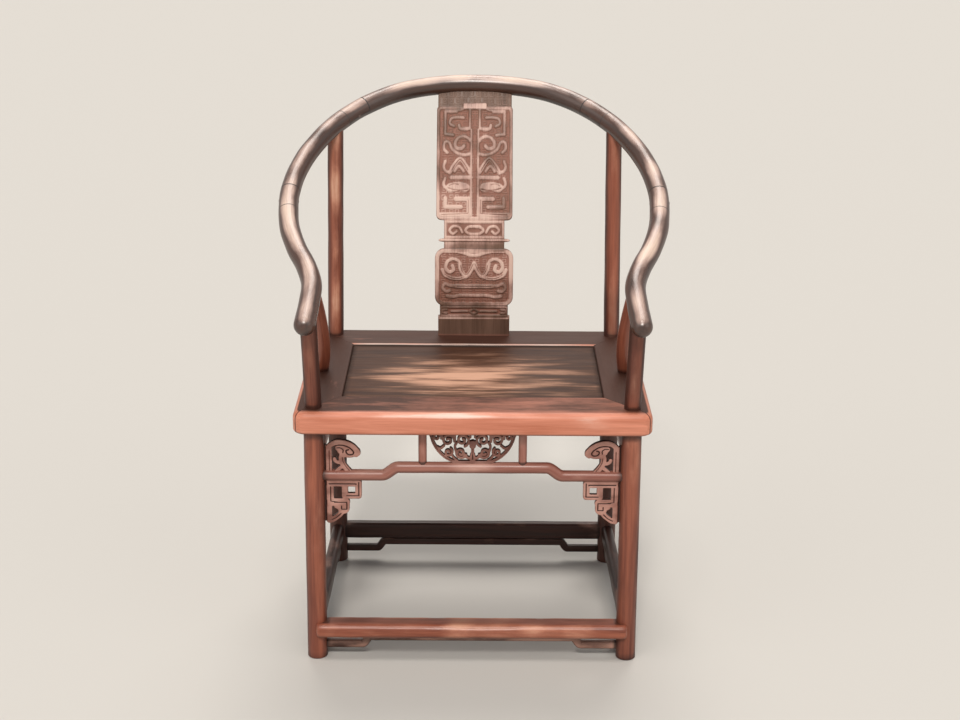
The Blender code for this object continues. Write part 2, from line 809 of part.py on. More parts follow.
def build_seat_frame():
    rails = {}
    for word in ("front", "rear", "left", "right"):
        name = "seat_rail_" + word
        rail = add_object(name, frame_blank(), (0, SEAT_DEPTH / 2, SEAT_UNDERSIDE), WOODS["seat"])
        combine(rail, wedge_object(word), "INTERSECT")
        rails[word] = rail
    for word_y in ("front", "rear"):
        for word_x, side in SIDES:
            tag = word_y + "_" + word_x
            join(rails[word_y], mitre_tenon("cut_mitre_tenon_" + tag, word_y, side, 0.0))
            cut(rails[word_x], mitre_tenon("cut_mitre_mortise_" + tag, word_y, side, FIT_GAP))
            hole = leg_hole_cutter(word_y, word_x)
            cut(rails[word_y], hole)
            cut(rails[word_x], hole)
    return rails


def build_panel():
    body = -PANEL_MARGIN
    tongue = TONGUE_DEPTH
    levels = (
        (PANEL_BOTTOM, body),
        (TONGUE_BOTTOM, body),
        (TONGUE_BOTTOM, tongue),
        (TONGUE_TOP, tongue),
        (TONGUE_TOP, body),
        (PANEL_TOP, body),
    )
    rings = []
    for height, grow in levels:
        rings.append([Vector((x, y, height)) for x, y in opening_outline(grow)])
    centre = (0, (FRONT_RAIL_WIDTH + OPENING_BACK) / 2, PANEL_BOTTOM)
    return add_object("seat_panel", lofted(rings), centre, WOODS["panel"])


# A batten's section: a plain bar with a dovetail key along its top
def batten_ring(x, y, grow):
    half = BATTEN_WIDTH / 2
    low = PANEL_BOTTOM - FIT_GAP - BATTEN_HEIGHT
    shoulder = PANEL_BOTTOM - FIT_GAP
    key_low = half / 2 - DOVETAIL_FLARE + grow
    key_high = half / 2 + grow
    top = PANEL_BOTTOM + DOVETAIL_DEPTH + grow
    outline = (
        (-half, low),
        (half, low),
        (half, shoulder),
        (key_low, shoulder),
        (key_high, top),
        (-key_high, top),
        (-key_low, shoulder),
        (-half, shoulder),
    )
    return [Vector((x + across, y, height)) for across, height in outline]


def build_battens(rails, panel):
    front = FRONT_RAIL_WIDTH + FIT_GAP
    back = OPENING_BACK - FIT_GAP
    tenon_z = PANEL_BOTTOM - BATTEN_HEIGHT / 2
    for word, side in SIDES:
        x = side * BATTEN_OFFSET
        middle = Vector((x, (front + back) / 2, tenon_z))
        rings = [batten_ring(x, front, 0.0), batten_ring(x, back, 0.0)]
        batten = add_object("seat_batten_" + word, lofted(rings), middle, WOODS["hidden"])
        slot_ends = (front - OVERRUN, back + OVERRUN)
        slot_rings = [batten_ring(x, y, FIT_GAP) for y in slot_ends]
        cut(panel, add_object("cut_batten_slot_" + word, lofted(slot_rings), middle))
        for grow, tag in ((0.0, "tenon"), (FIT_GAP, "mortise")):
            half_x = BATTEN_TENON_WIDTH / 2 + grow
            half_z = BATTEN_TENON_HEIGHT / 2 + grow
            reach = BATTEN_TENON_LENGTH + grow
            ends = (front - reach, back + reach)
            bars = [box_ring(Vector((x, y, tenon_z)), ACROSS, UP, half_x, half_z) for y in ends]
            bar = add_object("cut_batten_" + tag + "_" + word, lofted(bars), middle)
            if grow:
                cut(rails["front"], bar)
                cut(rails["rear"], bar)
            else:
                join(batten, bar)


# Bars that span two legs
def span_of(word, height):
    first = {"front": ("front", "left"), "rear": ("rear", "left")}.get(word, ("front", word))
    second = {"front": ("front", "right"), "rear": ("rear", "right")}.get(word, ("rear", word))
    start = axis_at(LEGS[first], height)
    end = axis_at(LEGS[second], height)
    along = (end - start).normalized()
    return {
        "start": start,
        "end": end,
        "middle": (start + end) / 2,
        "half": (end - start).length / 2,
        "along": along,
        "side": UP.cross(along).normalized(),
        "legs": (LEG_PIECES[first], LEG_PIECES[second]),
    }


# Distance from a round piece's middle to the end of a bar that is let into its side
def housed(outer_radius, half_width):
    return math.sqrt(outer_radius ** 2 - half_width ** 2) - BITE


# Places along half of a humpbacked bar: distance from the middle, height above its ends
def hump_path(half, end, raised_half, ramp, rise):
    path = [(-(half - end), 0.0)]
    for step in range(RAMP_STEPS + 1):
        share = step / RAMP_STEPS
        lift = share * share * (3 - 2 * share)
        path.append((-(raised_half + ramp * (1 - share)), rise * lift))
    return path + [(-place, lift) for place, lift in reversed(path)]


def hump_rings(span, path, half_side, half_up, grow, count, squareness=2.0):
    rings = []
    for index, (place, lift) in enumerate(path):
        before = path[max(index - 1, 0)]
        after = path[min(index + 1, len(path) - 1)]
        slope = math.atan2(after[1] - before[1], after[0] - before[0])
        if index in (0, len(path) - 1):
            slope = 0.0
        centre = span["middle"] + span["along"] * place + UP * lift
        if index == 0:
            centre = centre - span["along"] * grow
        if index == len(path) - 1:
            centre = centre + span["along"] * grow
        up = UP * math.cos(slope) - span["along"] * math.sin(slope)
        wide = half_side + grow
        tall = half_up + grow
        rings.append(oval_ring(centre, span["side"], up, wide, tall, count, squareness))
    return rings


# Stub tenons of a bar: one at each end, rooted in the bar
def stub_tenons(tag, span, piece, root, end, half_side, half_up, height):
    for index, sign in enumerate((-1, 1)):
        for grow, word in ((0.0, "tenon"), (FIT_GAP, "mortise")):
            rings = []
            for place in (root, end - grow):
                centre = span["middle"] + span["along"] * sign * (span["half"] - place)
                centre.z = height
                rings.append(box_ring(centre, span["side"], UP, half_side + grow, half_up + grow))
            name = "cut_" + word + "_" + tag + "_" + str(index)
            stub = add_object(name, lofted(rings), rings[0][0])
            if grow:
                cut(span["legs"][index], stub)
            else:
                join(piece, stub)


def build_hump_stretcher(word):
    span = span_of(word, HUMP_HEIGHT)
    end = housed(LEG_RADIUS, HUMP_RADIUS)
    raised_half = span["half"] * HUMP_RAISED_SHARE
    path = hump_path(span["half"], end, raised_half, HUMP_RAMP, HUMP_RISE)
    name = "hump_stretcher_" + word
    rings = hump_rings(span, path, HUMP_RADIUS, HUMP_RADIUS, 0.0, THIN_SIDES)
    piece = add_object(name, lofted(rings), span["middle"], WOODS["stretcher"])
    grown = hump_rings(span, path, HUMP_RADIUS, HUMP_RADIUS, FIT_GAP, THIN_SIDES)
    housing = add_object("cut_" + name, lofted(grown), span["middle"])
    for leg in span["legs"]:
        cut(leg, housing)
    half_tenon = HUMP_TENON_THICKNESS / 2
    deep = half_tenon + TENON_SPACING
    root = end + LEG_RADIUS
    stub_tenons(name, span, piece, root, deep, half_tenon, half_tenon, HUMP_HEIGHT)
    return span, piece


def build_struts(word, span, stretcher, rail):
    offset = STRUT_OFFSET if word in ("front", "rear") else SIDE_STRUT_OFFSET
    ends = ("left", "right") if word in ("front", "rear") else ("front", "rear")
    low_z = HUMP_HEIGHT + HUMP_RISE + HUMP_RADIUS * STRUT_SEAT_SHARE
    high_z = SEAT_UNDERSIDE + STRUT_TENON_LENGTH
    for end, sign in zip(ends, (-1, 1)):
        foot = span["middle"] + span["along"] * sign * offset
        low = Vector((foot.x, foot.y, low_z))
        high = Vector((foot.x, foot.y, high_z))
        name = "strut_" + word + "_" + end
        rings = [level_ring(low, STRUT_RADIUS, THIN_SIDES), level_ring(high, STRUT_RADIUS, THIN_SIDES)]
        add_object(name, lofted(rings), low, WOODS["stretcher"])
        wide = STRUT_RADIUS + FIT_GAP
        socket_rings = [
            level_ring(low - UP * FIT_GAP, wide, THIN_SIDES),
            level_ring(high + UP * FIT_GAP, wide, THIN_SIDES),
        ]
        socket = add_object("cut_" + name, lofted(socket_rings), low)
        cut(stretcher, socket)
        cut(rail, socket)


# Side and rear stretchers near the floor
def build_lower_bar(word):
    middle_z = LOWER_BAR_TOP - LOWER_BAR_HEIGHT / 2
    span = span_of(word, middle_z)
    half_side = LOWER_BAR_THICKNESS / 2
    half_up = LOWER_BAR_HEIGHT / 2
    end = housed(LEG_RADIUS, half_side)
    name = "lower_stretcher_" + word
    shapes = []
    for grow in (0.0, FIT_GAP):
        rings = []
        for sign in (-1, 1):
            centre = span["middle"] + span["along"] * sign * (span["half"] - end + grow)
            wide = half_side + grow
            tall = half_up + grow
            ring = oval_ring(centre, span["side"], UP, wide, tall, POLE_SIDES, BAR_SQUARENESS)
            rings.append(ring)
        shapes.append(lofted(rings))
    piece = add_object(name, shapes[0], span["middle"], WOODS["lower"])
    housing = add_object("cut_" + name, shapes[1], span["middle"])
    for leg in span["legs"]:
        cut(leg, housing)
    half_tenon = LOWER_TENON_THICKNESS / 2
    deep = half_tenon + TENON_SPACING
    root = end + LEG_RADIUS
    stub_tenons(name, span, piece, root, deep, half_tenon, LOWER_TENON_HEIGHT / 2, middle_z)


def build_apron(word, bar_bottom):
    centre_top = bar_bottom - FIT_GAP
    low_z = centre_top - APRON_RISE - APRON_HEIGHT / 2
    span = span_of(word, low_z)
    half_side = APRON_THICKNESS / 2
    half_up = APRON_HEIGHT / 2
    end = housed(LEG_RADIUS, half_side)
    path = hump_path(span["half"], end, span["half"] * APRON_RAISED_SHARE, APRON_RAMP, APRON_RISE)
    name = "lower_apron_" + word
    rings = hump_rings(span, path, half_side, half_up, 0.0, APRON_SIDES, APRON_SQUARENESS)
    piece = add_object(name, lofted(rings), span["middle"], WOODS["lower"])
    grown = hump_rings(span, path, half_side, half_up, FIT_GAP, APRON_SIDES, APRON_SQUARENESS)
    housing = add_object("cut_" + name, lofted(grown), span["middle"])
    for leg in span["legs"]:
        cut(leg, housing)
    half_tenon = APRON_TENON_THICKNESS / 2
    deep = half_tenon + TENON_SPACING
    root = end + LEG_RADIUS / 2
    stub_tenons(name, span, piece, root, deep, half_tenon, APRON_TENON_HEIGHT / 2, low_z)


# The footrest laps the fronts of the legs and is tenoned behind the lap
def build_footrest():
    middle_z = FOOTREST_TOP - FOOTREST_HEIGHT / 2
    span = span_of("front", middle_z)
    axis_y = span["middle"].y
    front = axis_y - LEG_RADIUS - FOOTREST_LIP
    back = axis_y + LEG_RADIUS * FOOTREST_BACK_SHARE
    round_over = FOOTREST_EDGE_ROUND
    section = [(back, FOOTREST_BOTTOM), (back, FOOTREST_TOP)]
    corners = ((FOOTREST_TOP - round_over, 90), (FOOTREST_BOTTOM + round_over, 180))
    for centre_z, start in corners:
        for step in range(CORNER_STEPS):
            angle = math.radians(start + 90 * step / (CORNER_STEPS - 1))
            y = front + round_over + round_over * math.cos(angle)
            section.append((y, centre_z + round_over * math.sin(angle)))
    rings = []
    for place in (-span["half"], span["half"]):
        rings.append([Vector((place, y, z)) for y, z in section])
    piece = add_object("footrest_rail", lofted(rings), span["middle"], WOODS["leg"])
    for word, side in SIDES:
        leg = LEGS["front", word]
        radius = LEG_RADIUS + FIT_GAP
        ends = (axis_at(leg, FOOTREST_BOTTOM - OVERRUN), axis_at(leg, FOOTREST_TOP + OVERRUN))
        scoop = [level_ring(centre, radius, POLE_SIDES) for centre in ends]
        cut(piece, add_object("cut_footrest_scoop_" + word, lofted(scoop), ends[0]))
    half_tenon = LOWER_TENON_THICKNESS / 2
    deep = half_tenon + TENON_SPACING
    tall = LOWER_TENON_HEIGHT / 2
    stub_tenons("footrest", span, piece, 2 * LEG_RADIUS, deep, half_tenon, tall, middle_z)


# Openwork brackets above and below the front stretcher, beside each leg
def build_brackets(span, stretcher):
    kinds = (
        ("upper", 1, UPPER_BRACKET_HEIGHT, UPPER_BRACKET_SHARES, UPPER_BRACKET_HOLE_SHARES),
        ("lower", -1, LOWER_BRACKET_HEIGHT, LOWER_BRACKET_SHARES, LOWER_BRACKET_HOLE_SHARES),
    )
    for index, (word, side) in enumerate(SIDES):
        start = span["start"] if side < 0 else span["end"]
        inward = -side * ACROSS
        for kind, sign, height, outline, holes in kinds:
            def plane_point(share_x, share_z):
                return start + inward * share_x * BRACKET_LENGTH + UP * sign * share_z * height

            name = "bracket_" + kind + "_" + word
            half = BRACKET_THICKNESS / 2
            bm = fretted(outline, holes, plane_point, half, BACKWARD)
            add_object(name, bm, start, WOODS["carved"])
            # The slots in the leg and the stretcher are cut by the bare outline
            slot_bm = fretted(outline, (), plane_point, half + FIT_GAP, BACKWARD)
            bmesh.ops.recalc_face_normals(slot_bm, faces=slot_bm.faces)
            slot = add_object("cut_" + name, slot_bm, start)
            grow_edges(slot, FIT_GAP)
            cut(span["legs"][index], slot)
            cut(stretcher, slot)


# Moves the rim of a flat plate outwards in its own plane. The corners move along the
# bisector of their two walls, and sharp ones no more than the limit allows.
def grow_edges(item, distance):
    bm = bmesh.new()
    bm.from_mesh(item.data)
    bm.normal_update()
    moves = {}
    for vert in bm.verts:
        walls = [face.normal for face in vert.link_faces if abs(face.normal.y) < WALL_TILT_LIMIT]
        distinct = []
        for wall in walls:
            if all((wall - other).length > SAME_WALL_LIMIT for other in distinct):
                distinct.append(wall)
        if not distinct:
            continue
        total = Vector((0, 0, 0))
        for wall in distinct:
            total += wall
        direction = total.normalized()
        stretch = max(direction.dot(distinct[0]), CORNER_STRETCH_LIMIT)
        moves[vert] = direction * distance / stretch
    for vert, move in moves.items():
        vert.co += move
    bm.to_mesh(item.data)
    bm.free()


def build_carving(span, rail, stretcher):
    low = HUMP_HEIGHT + HUMP_RISE + HUMP_RADIUS
    height = SEAT_UNDERSIDE - low
    middle = Vector((0, span["middle"].y, low))

    def plane_point(share_x, share_z):
        lift = share_z * height
        if share_z >= 1.0:
            lift = height + CARVING_TENON_LENGTH
        if share_z <= 0.0:
            lift = -CARVING_TENON_LENGTH
        return middle + ACROSS * share_x * CARVING_HALF_WIDTH + UP * lift

    outline = list(CARVING_SHARES) + [(-x, z) for x, z in reversed(CARVING_SHARES)]
    holes = []
    for side in (-1, 1):
        for x, z, half_x, half_z in CARVING_HOLE_SHARES:
            hole = []
            for index in range(CARVING_HOLE_SIDES):
                angle = 2 * math.pi * index / CARVING_HOLE_SIDES
                hole.append((side * (x + half_x * math.cos(angle)), z + half_z * math.sin(angle)))
            holes.append(hole)
    half = CARVING_THICKNESS / 2
    carving_bm = fretted(outline, holes, plane_point, half, BACKWARD)
    add_object("centre_carving", carving_bm, middle, WOODS["carved"])
    slot_bm = fretted(outline, (), plane_point, half + FIT_GAP, BACKWARD)
    slot = add_object("cut_centre_carving", slot_bm, middle)
    grow_edges(slot, FIT_GAP)
    cut(rail, slot)
    cut(stretcher, slot)


# Side posts under the arms
def side_post_line(side):
    base = Vector((side * SIDE_POST_X, SIDE_POST_Y, SEAT_HEIGHT))
    top = crest_at(side * SIDE_POST_SHARE)
    lean = top - base
    points = []
    for share_z, share_x, share_y in SIDE_POST_SHARES:
        points.append(base + Vector((lean.x * share_x, lean.y * share_y, lean.z * share_z)))
    return points


def build_side_post(word, side, rail):
    line = side_post_line(side)
    last = len(line) - 1
    rings = []
    for index in range(POST_ROWS + 1):
        share = index / POST_ROWS
        centre = spline_at(line, last * share)
        if index == 0:
            centre = centre + UP * FIT_GAP
        radius = SIDE_POST_RADIUS + (SIDE_POST_TOP_RADIUS - SIDE_POST_RADIUS) * share
        rings.append(level_ring(centre, radius, THIN_SIDES))
    name = "side_post_" + word
    piece = add_object(name, lofted(rings), line[0], WOODS["leg"])
    direction = (line[-1] - line[-2]).normalized()
    radius = SIDE_POST_HEAD_TENON_RADIUS
    crest_tenon(name, line[-1], direction, radius, CREST["grip_" + word], piece)
    seat_tenon(name, line[0], piece, rail)


def seat_tenon(name, base, piece, rail):
    for grow, word in ((0.0, "tenon"), (FIT_GAP, "mortise")):
        low = base - UP * (SEAT_TENON_LENGTH + grow)
        high = base + UP * SEAT_TENON_LENGTH / 2
        radius = SIDE_POST_FOOT_TENON_RADIUS + grow
        rings = [level_ring(low, radius, THIN_SIDES), level_ring(high, radius, THIN_SIDES)]
        tool = add_object("cut_foot_" + word + "_" + name, lofted(rings), base)
        if grow:
            cut(rail, tool)
        else:
            join(piece, tool)


# Back splat
def splat_line_at(share):
    points = [Vector((height, lean, 0)) for height, lean in SPLAT_CURVE_SHARES]
    lean = read_curve(points, share)[1]
    top = crest_at(0.0)
    y = SPLAT_BASE_Y + (top.y - SPLAT_BASE_Y) * lean
    return Vector((0, y, SEAT_HEIGHT + (top.z - SEAT_HEIGHT) * share))


def splat_frame(share):
    step = 1 / SPLAT_ROWS / 4
    low = splat_line_at(max(share - step, 0.0))
    high = splat_line_at(min(share + step, 1.0))
    along = (high - low).normalized()
    return splat_line_at(share), along, ACROSS.cross(along)


# Rows of the outline: share of the height, half width, half thickness
def splat_rows():
    height = crest_at(0.0).z - SEAT_HEIGHT
    rows = []

    def band(low, high, width, low_corner=0.0, high_corner=0.0):
        half = width / 2
        for degrees in (0, 30, 60):
            if low_corner:
                angle = math.radians(degrees)
                lift = low_corner * (1 - math.cos(angle)) / height
                rows.append((low + lift, half - low_corner * (1 - math.sin(angle)), False))
        start = low + low_corner / height
        end = high - high_corner / height
        count = max(1, round((end - start) * SPLAT_ROWS))
        for index in range(count + 1):
            rows.append((start + (end - start) * index / count, half, False))
        for degrees in (60, 30, 0):
            if high_corner:
                angle = math.radians(degrees)
                lift = high_corner * (1 - math.cos(angle)) / height
                rows.append((high - lift, half - high_corner * (1 - math.sin(angle)), False))

    band(0.0, BASE_TOP_SHARE, SPLAT_BASE_WIDTH)
    band(BASE_TOP_SHARE, LOWER_NECK_TOP_SHARE, SPLAT_LOWER_NECK_WIDTH)
    corner = LOWER_PANEL_CORNER
    band(LOWER_NECK_TOP_SHARE, LOWER_PANEL_TOP_SHARE, SPLAT_LOWER_PANEL_WIDTH, corner, corner)
    ledge_half = SPLAT_LEDGE_HEIGHT / 2 / height
    band(LOWER_PANEL_TOP_SHARE, LEDGE_SHARE - ledge_half, SPLAT_NECK_WIDTH)
    rows.append((LEDGE_SHARE - ledge_half, SPLAT_LEDGE_WIDTH / 2, True))
    rows.append((LEDGE_SHARE + ledge_half, SPLAT_LEDGE_WIDTH / 2, True))
    band(LEDGE_SHARE + ledge_half, NECK_TOP_SHARE, SPLAT_NECK_WIDTH)
    corner = UPPER_PANEL_CORNER
    band(NECK_TOP_SHARE, UPPER_PANEL_TOP_SHARE, SPLAT_UPPER_PANEL_WIDTH, corner, corner / 2)
    band(UPPER_PANEL_TOP_SHARE, 1.0, SPLAT_TOP_WIDTH)
    # A change of width takes a short slope, because two rows can't share one height
    spaced = [rows[0]]
    for share, half_width, proud in rows[1:]:
        lowest = spaced[-1][0] + SPLAT_STEP_RISE / height
        spaced.append((max(share, lowest), half_width, proud))
    return spaced


def build_splat(rail):
    rings = []
    for share, half_width, proud in splat_rows():
        centre, along, normal = splat_frame(share)
        half = SPLAT_THICKNESS / 2 + (SPLAT_LEDGE_PROUD if proud else 0.0)
        if share <= 0.0:
            centre = centre + UP * FIT_GAP
            normal = -BACKWARD
        rings.append(box_ring(centre, ACROSS, -normal, half_width, half))
    base = splat_line_at(0.0)
    piece = add_object("back_splat", lofted(rings), base, WOODS["splat"])
    top, along, normal = splat_frame(1.0)
    for grow, word in ((0.0, "tenon"), (FIT_GAP, "mortise")):
        half_x = SPLAT_TENON_WIDTH / 2 + grow
        half_y = SPLAT_TENON_THICKNESS / 2 + grow
        low = top - along * (CREST_RADIUS + SPLAT_TENON_ROOT)
        high = top + along * (CREST_RADIUS * SPLAT_TENON_SHARE + grow)
        head_rings = [box_ring(centre, ACROSS, normal, half_x, half_y) for centre in (low, high)]
        head = add_object("cut_splat_head_" + word, lofted(head_rings), top)
        deep = base - UP * (SEAT_TENON_LENGTH + grow)
        above = base + UP * SEAT_TENON_LENGTH / 2
        foot_rings = [box_ring(centre, ACROSS, BACKWARD, half_x, half_y) for centre in (deep, above)]
        foot = add_object("cut_splat_foot_" + word, lofted(foot_rings), base)
        if grow:
            cut(CREST["centre"], head)
            cut(rail, foot)
        else:
            cut(piece, CREST_SCRIBE)
            join(piece, head)
            join(piece, foot)


# Puts the middle of the chair's outer box over the origin
def centre_on_floor():
    rear = CREST_BACK_Y + CREST_RADIUS
    tips = [point.y for ring in grip_end_rings(1) for point in ring]
    CHAIR.location = (0, -(rear + min(tips)) / 2, 0)


clear_scene()
CHAIR = make_root()
WOODS = {
    "crest": make_material("dark worn lacquer", (0.105, 0.036, 0.018), 0.32),
    "leg": make_material("red brown lacquer", (0.300, 0.095, 0.055), 0.36),
    "seat": make_material("bright edge lacquer", (0.420, 0.140, 0.075), 0.38),
    "panel": make_material("dull seat board", (0.145, 0.062, 0.036), 0.50),
    "hidden": make_material("bare batten wood", (0.240, 0.120, 0.060), 0.70),
    "stretcher": make_material("pale worn lacquer", (0.330, 0.150, 0.095), 0.40),
    "lower": make_material("shaded lacquer", (0.180, 0.065, 0.040), 0.42),
    "carved": make_material("carved lacquer", (0.270, 0.105, 0.065), 0.45),
    "splat": make_material("carved splat lacquer", (0.200, 0.080, 0.055), 0.42),
}
CREST_SAMPLES, CREST_LENGTHS = measure_crest()
CREST_NORMAL = Vector((0, -CREST_DROP, CREST_DEPTH)).normalized()
CREST, CREST_SCRIBE = build_crest()
LEGS = {}
LEG_PIECES = {}
for leg_y in ("front", "rear"):
    for leg_x, leg_side in SIDES:
        LEGS[leg_y, leg_x] = describe_leg(leg_y, leg_side)
        LEG_PIECES[leg_y, leg_x] = build_leg(leg_y, leg_x, leg_side)
RAILS = build_seat_frame()
PANEL = build_panel()
build_battens(RAILS, PANEL)
for place_word in ("front", "rear", "left", "right"):
    HUMP_SPAN, HUMP_PIECE = build_hump_stretcher(place_word)
    build_struts(place_word, HUMP_SPAN, HUMP_PIECE, RAILS[place_word])
    if place_word == "front":
        build_brackets(HUMP_SPAN, HUMP_PIECE)
        build_carving(HUMP_SPAN, RAILS["front"], HUMP_PIECE)
        build_footrest()
        build_apron(place_word, FOOTREST_BOTTOM)
    else:
        build_lower_bar(place_word)
        build_apron(place_word, LOWER_BAR_BOTTOM)
for post_word, post_side in SIDES:
    build_side_post(post_word, post_side, RAILS[post_word])
build_splat(RAILS["rear"])
centre_on_floor()
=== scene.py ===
# Lacquered round-backed armchair: the detailed pieces and their finishes, built around
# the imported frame. Lengths are in metres unless a name ends in Mm. +Z is up and the
# sitter faces -Y. Left and right are as seen from the front.
from math import cos, pi, radians, sin, sqrt

import bmesh
import bpy
import numpy as np
from mathutils import Matrix, Vector


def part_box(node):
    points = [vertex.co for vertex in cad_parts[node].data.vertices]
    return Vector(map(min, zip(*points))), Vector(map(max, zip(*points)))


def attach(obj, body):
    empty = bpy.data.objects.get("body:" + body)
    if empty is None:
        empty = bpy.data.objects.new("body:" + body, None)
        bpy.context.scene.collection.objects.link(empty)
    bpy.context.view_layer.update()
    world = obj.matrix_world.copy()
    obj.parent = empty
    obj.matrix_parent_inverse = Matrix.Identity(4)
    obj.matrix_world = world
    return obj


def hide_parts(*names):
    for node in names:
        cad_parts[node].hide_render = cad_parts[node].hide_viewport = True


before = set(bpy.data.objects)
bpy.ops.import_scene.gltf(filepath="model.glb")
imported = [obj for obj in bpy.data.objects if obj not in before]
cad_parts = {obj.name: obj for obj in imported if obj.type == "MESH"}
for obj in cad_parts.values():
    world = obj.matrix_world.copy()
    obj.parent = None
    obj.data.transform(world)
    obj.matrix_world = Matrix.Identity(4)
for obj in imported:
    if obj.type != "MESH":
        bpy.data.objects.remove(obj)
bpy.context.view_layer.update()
print("frame loaded:", len(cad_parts), "solids")

# The sizes below have Y = 0 on the front face of the seat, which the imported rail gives
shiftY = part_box("seat_rail_front")[0].y
mm = 0.001
xAxis, yAxis, zAxis = np.eye(3)
hands = (("Left", -1), ("Right", 1))

# Camera of the photograph, with its angles in radians
camera = {"place": (0.0056, -2.9814, 1.4891), "lens": 65.71, "sensor": 36.0, "clipEnd": 60,
          "turn": 0.0021, "tilt": 0.3297, "roll": 0.0066}


def addObject(name, data):
    made = bpy.data.objects.new(name, data)
    bpy.context.scene.collection.objects.link(made)
    return made


def makeCamera():
    turn, tilt, roll = camera["turn"], camera["tilt"], camera["roll"]
    forward = Vector((sin(turn) * cos(tilt), cos(turn) * cos(tilt), -sin(tilt)))
    right = Vector((cos(turn), -sin(turn), 0))
    up = right.cross(forward)
    axes = Matrix((right * cos(roll) + up * sin(roll), up * cos(roll) - right * sin(roll),
                   -forward))
    data = bpy.data.cameras.new("photoCamera")
    data.lens, data.sensor_width = camera["lens"], camera["sensor"]
    data.clip_end = camera["clipEnd"]
    item = addObject("photoCamera", data)
    item.matrix_world = Matrix.Translation(camera["place"]) @ axes.transposed().to_4x4()
    bpy.context.scene.camera = item


# Colours are written as sRGB hex and turned to linear here
def colour(code):
    parts = [int(code[i:i + 2], 16) / 255 for i in (1, 3, 5)]
    linear = [p / 12.92 if p <= 0.04045 else ((p + 0.055) / 1.055) ** 2.4 for p in parts]
    return (*linear, 1.0)


def emptyTree(block):
    block.use_nodes = True
    block.node_tree.nodes.clear()
    return block.node_tree


# Adds one node and gives its outputs. A socket takes a value or a link from another node
def addNode(tree, kind, sockets=None, **fields):
    made = tree.nodes.new("ShaderNode" + kind)
    for field, value in fields.items():
        setattr(made, field, value)
    for socket, value in (sockets or {}).items():
        if isinstance(value, bpy.types.NodeSocket):
            tree.links.new(value, made.inputs[socket])
        else:
            made.inputs[socket].default_value = value
    return made.outputs


# Real pores are 0.2 mm wide, too fine to show at this size, so the grain lines are drawn
# 2 to 3 mm apart. For each noise: length and width of a mark in mm, where it starts,
# detail, roughness, distortion. The smudges' size differs with the finish.
grainNoises = {
    "lines": (75, 2.6, (0, 0, 0), 3.0, 0.6, 0.3),
    "figure": (240, 16, (3.1, 1.7, 5.3), 4.0, 0.55, 0.6),
    "speck": (3.0, 3.0, (0, 0, 0), 2.0, 0.5, 0.0),
    "smudge": (None, None, (0, 0, 0), 5.0, 0.62, 0.0),
}
woodMix = {"lines": 0.45, "lacquerFrom": 0.50, "lacquerTo": 0.92, "smudge": 0.9, "streak": 0.55,
           "rubAndHighlightReach": 0.45, "bareReach": 0.42, "shadeAndSootTo": 0.32, "bareRough": 0.16, "shadeAndSootRough": 0.2,
           "poreLines": 0.5, "poreDepth": 0.0004}


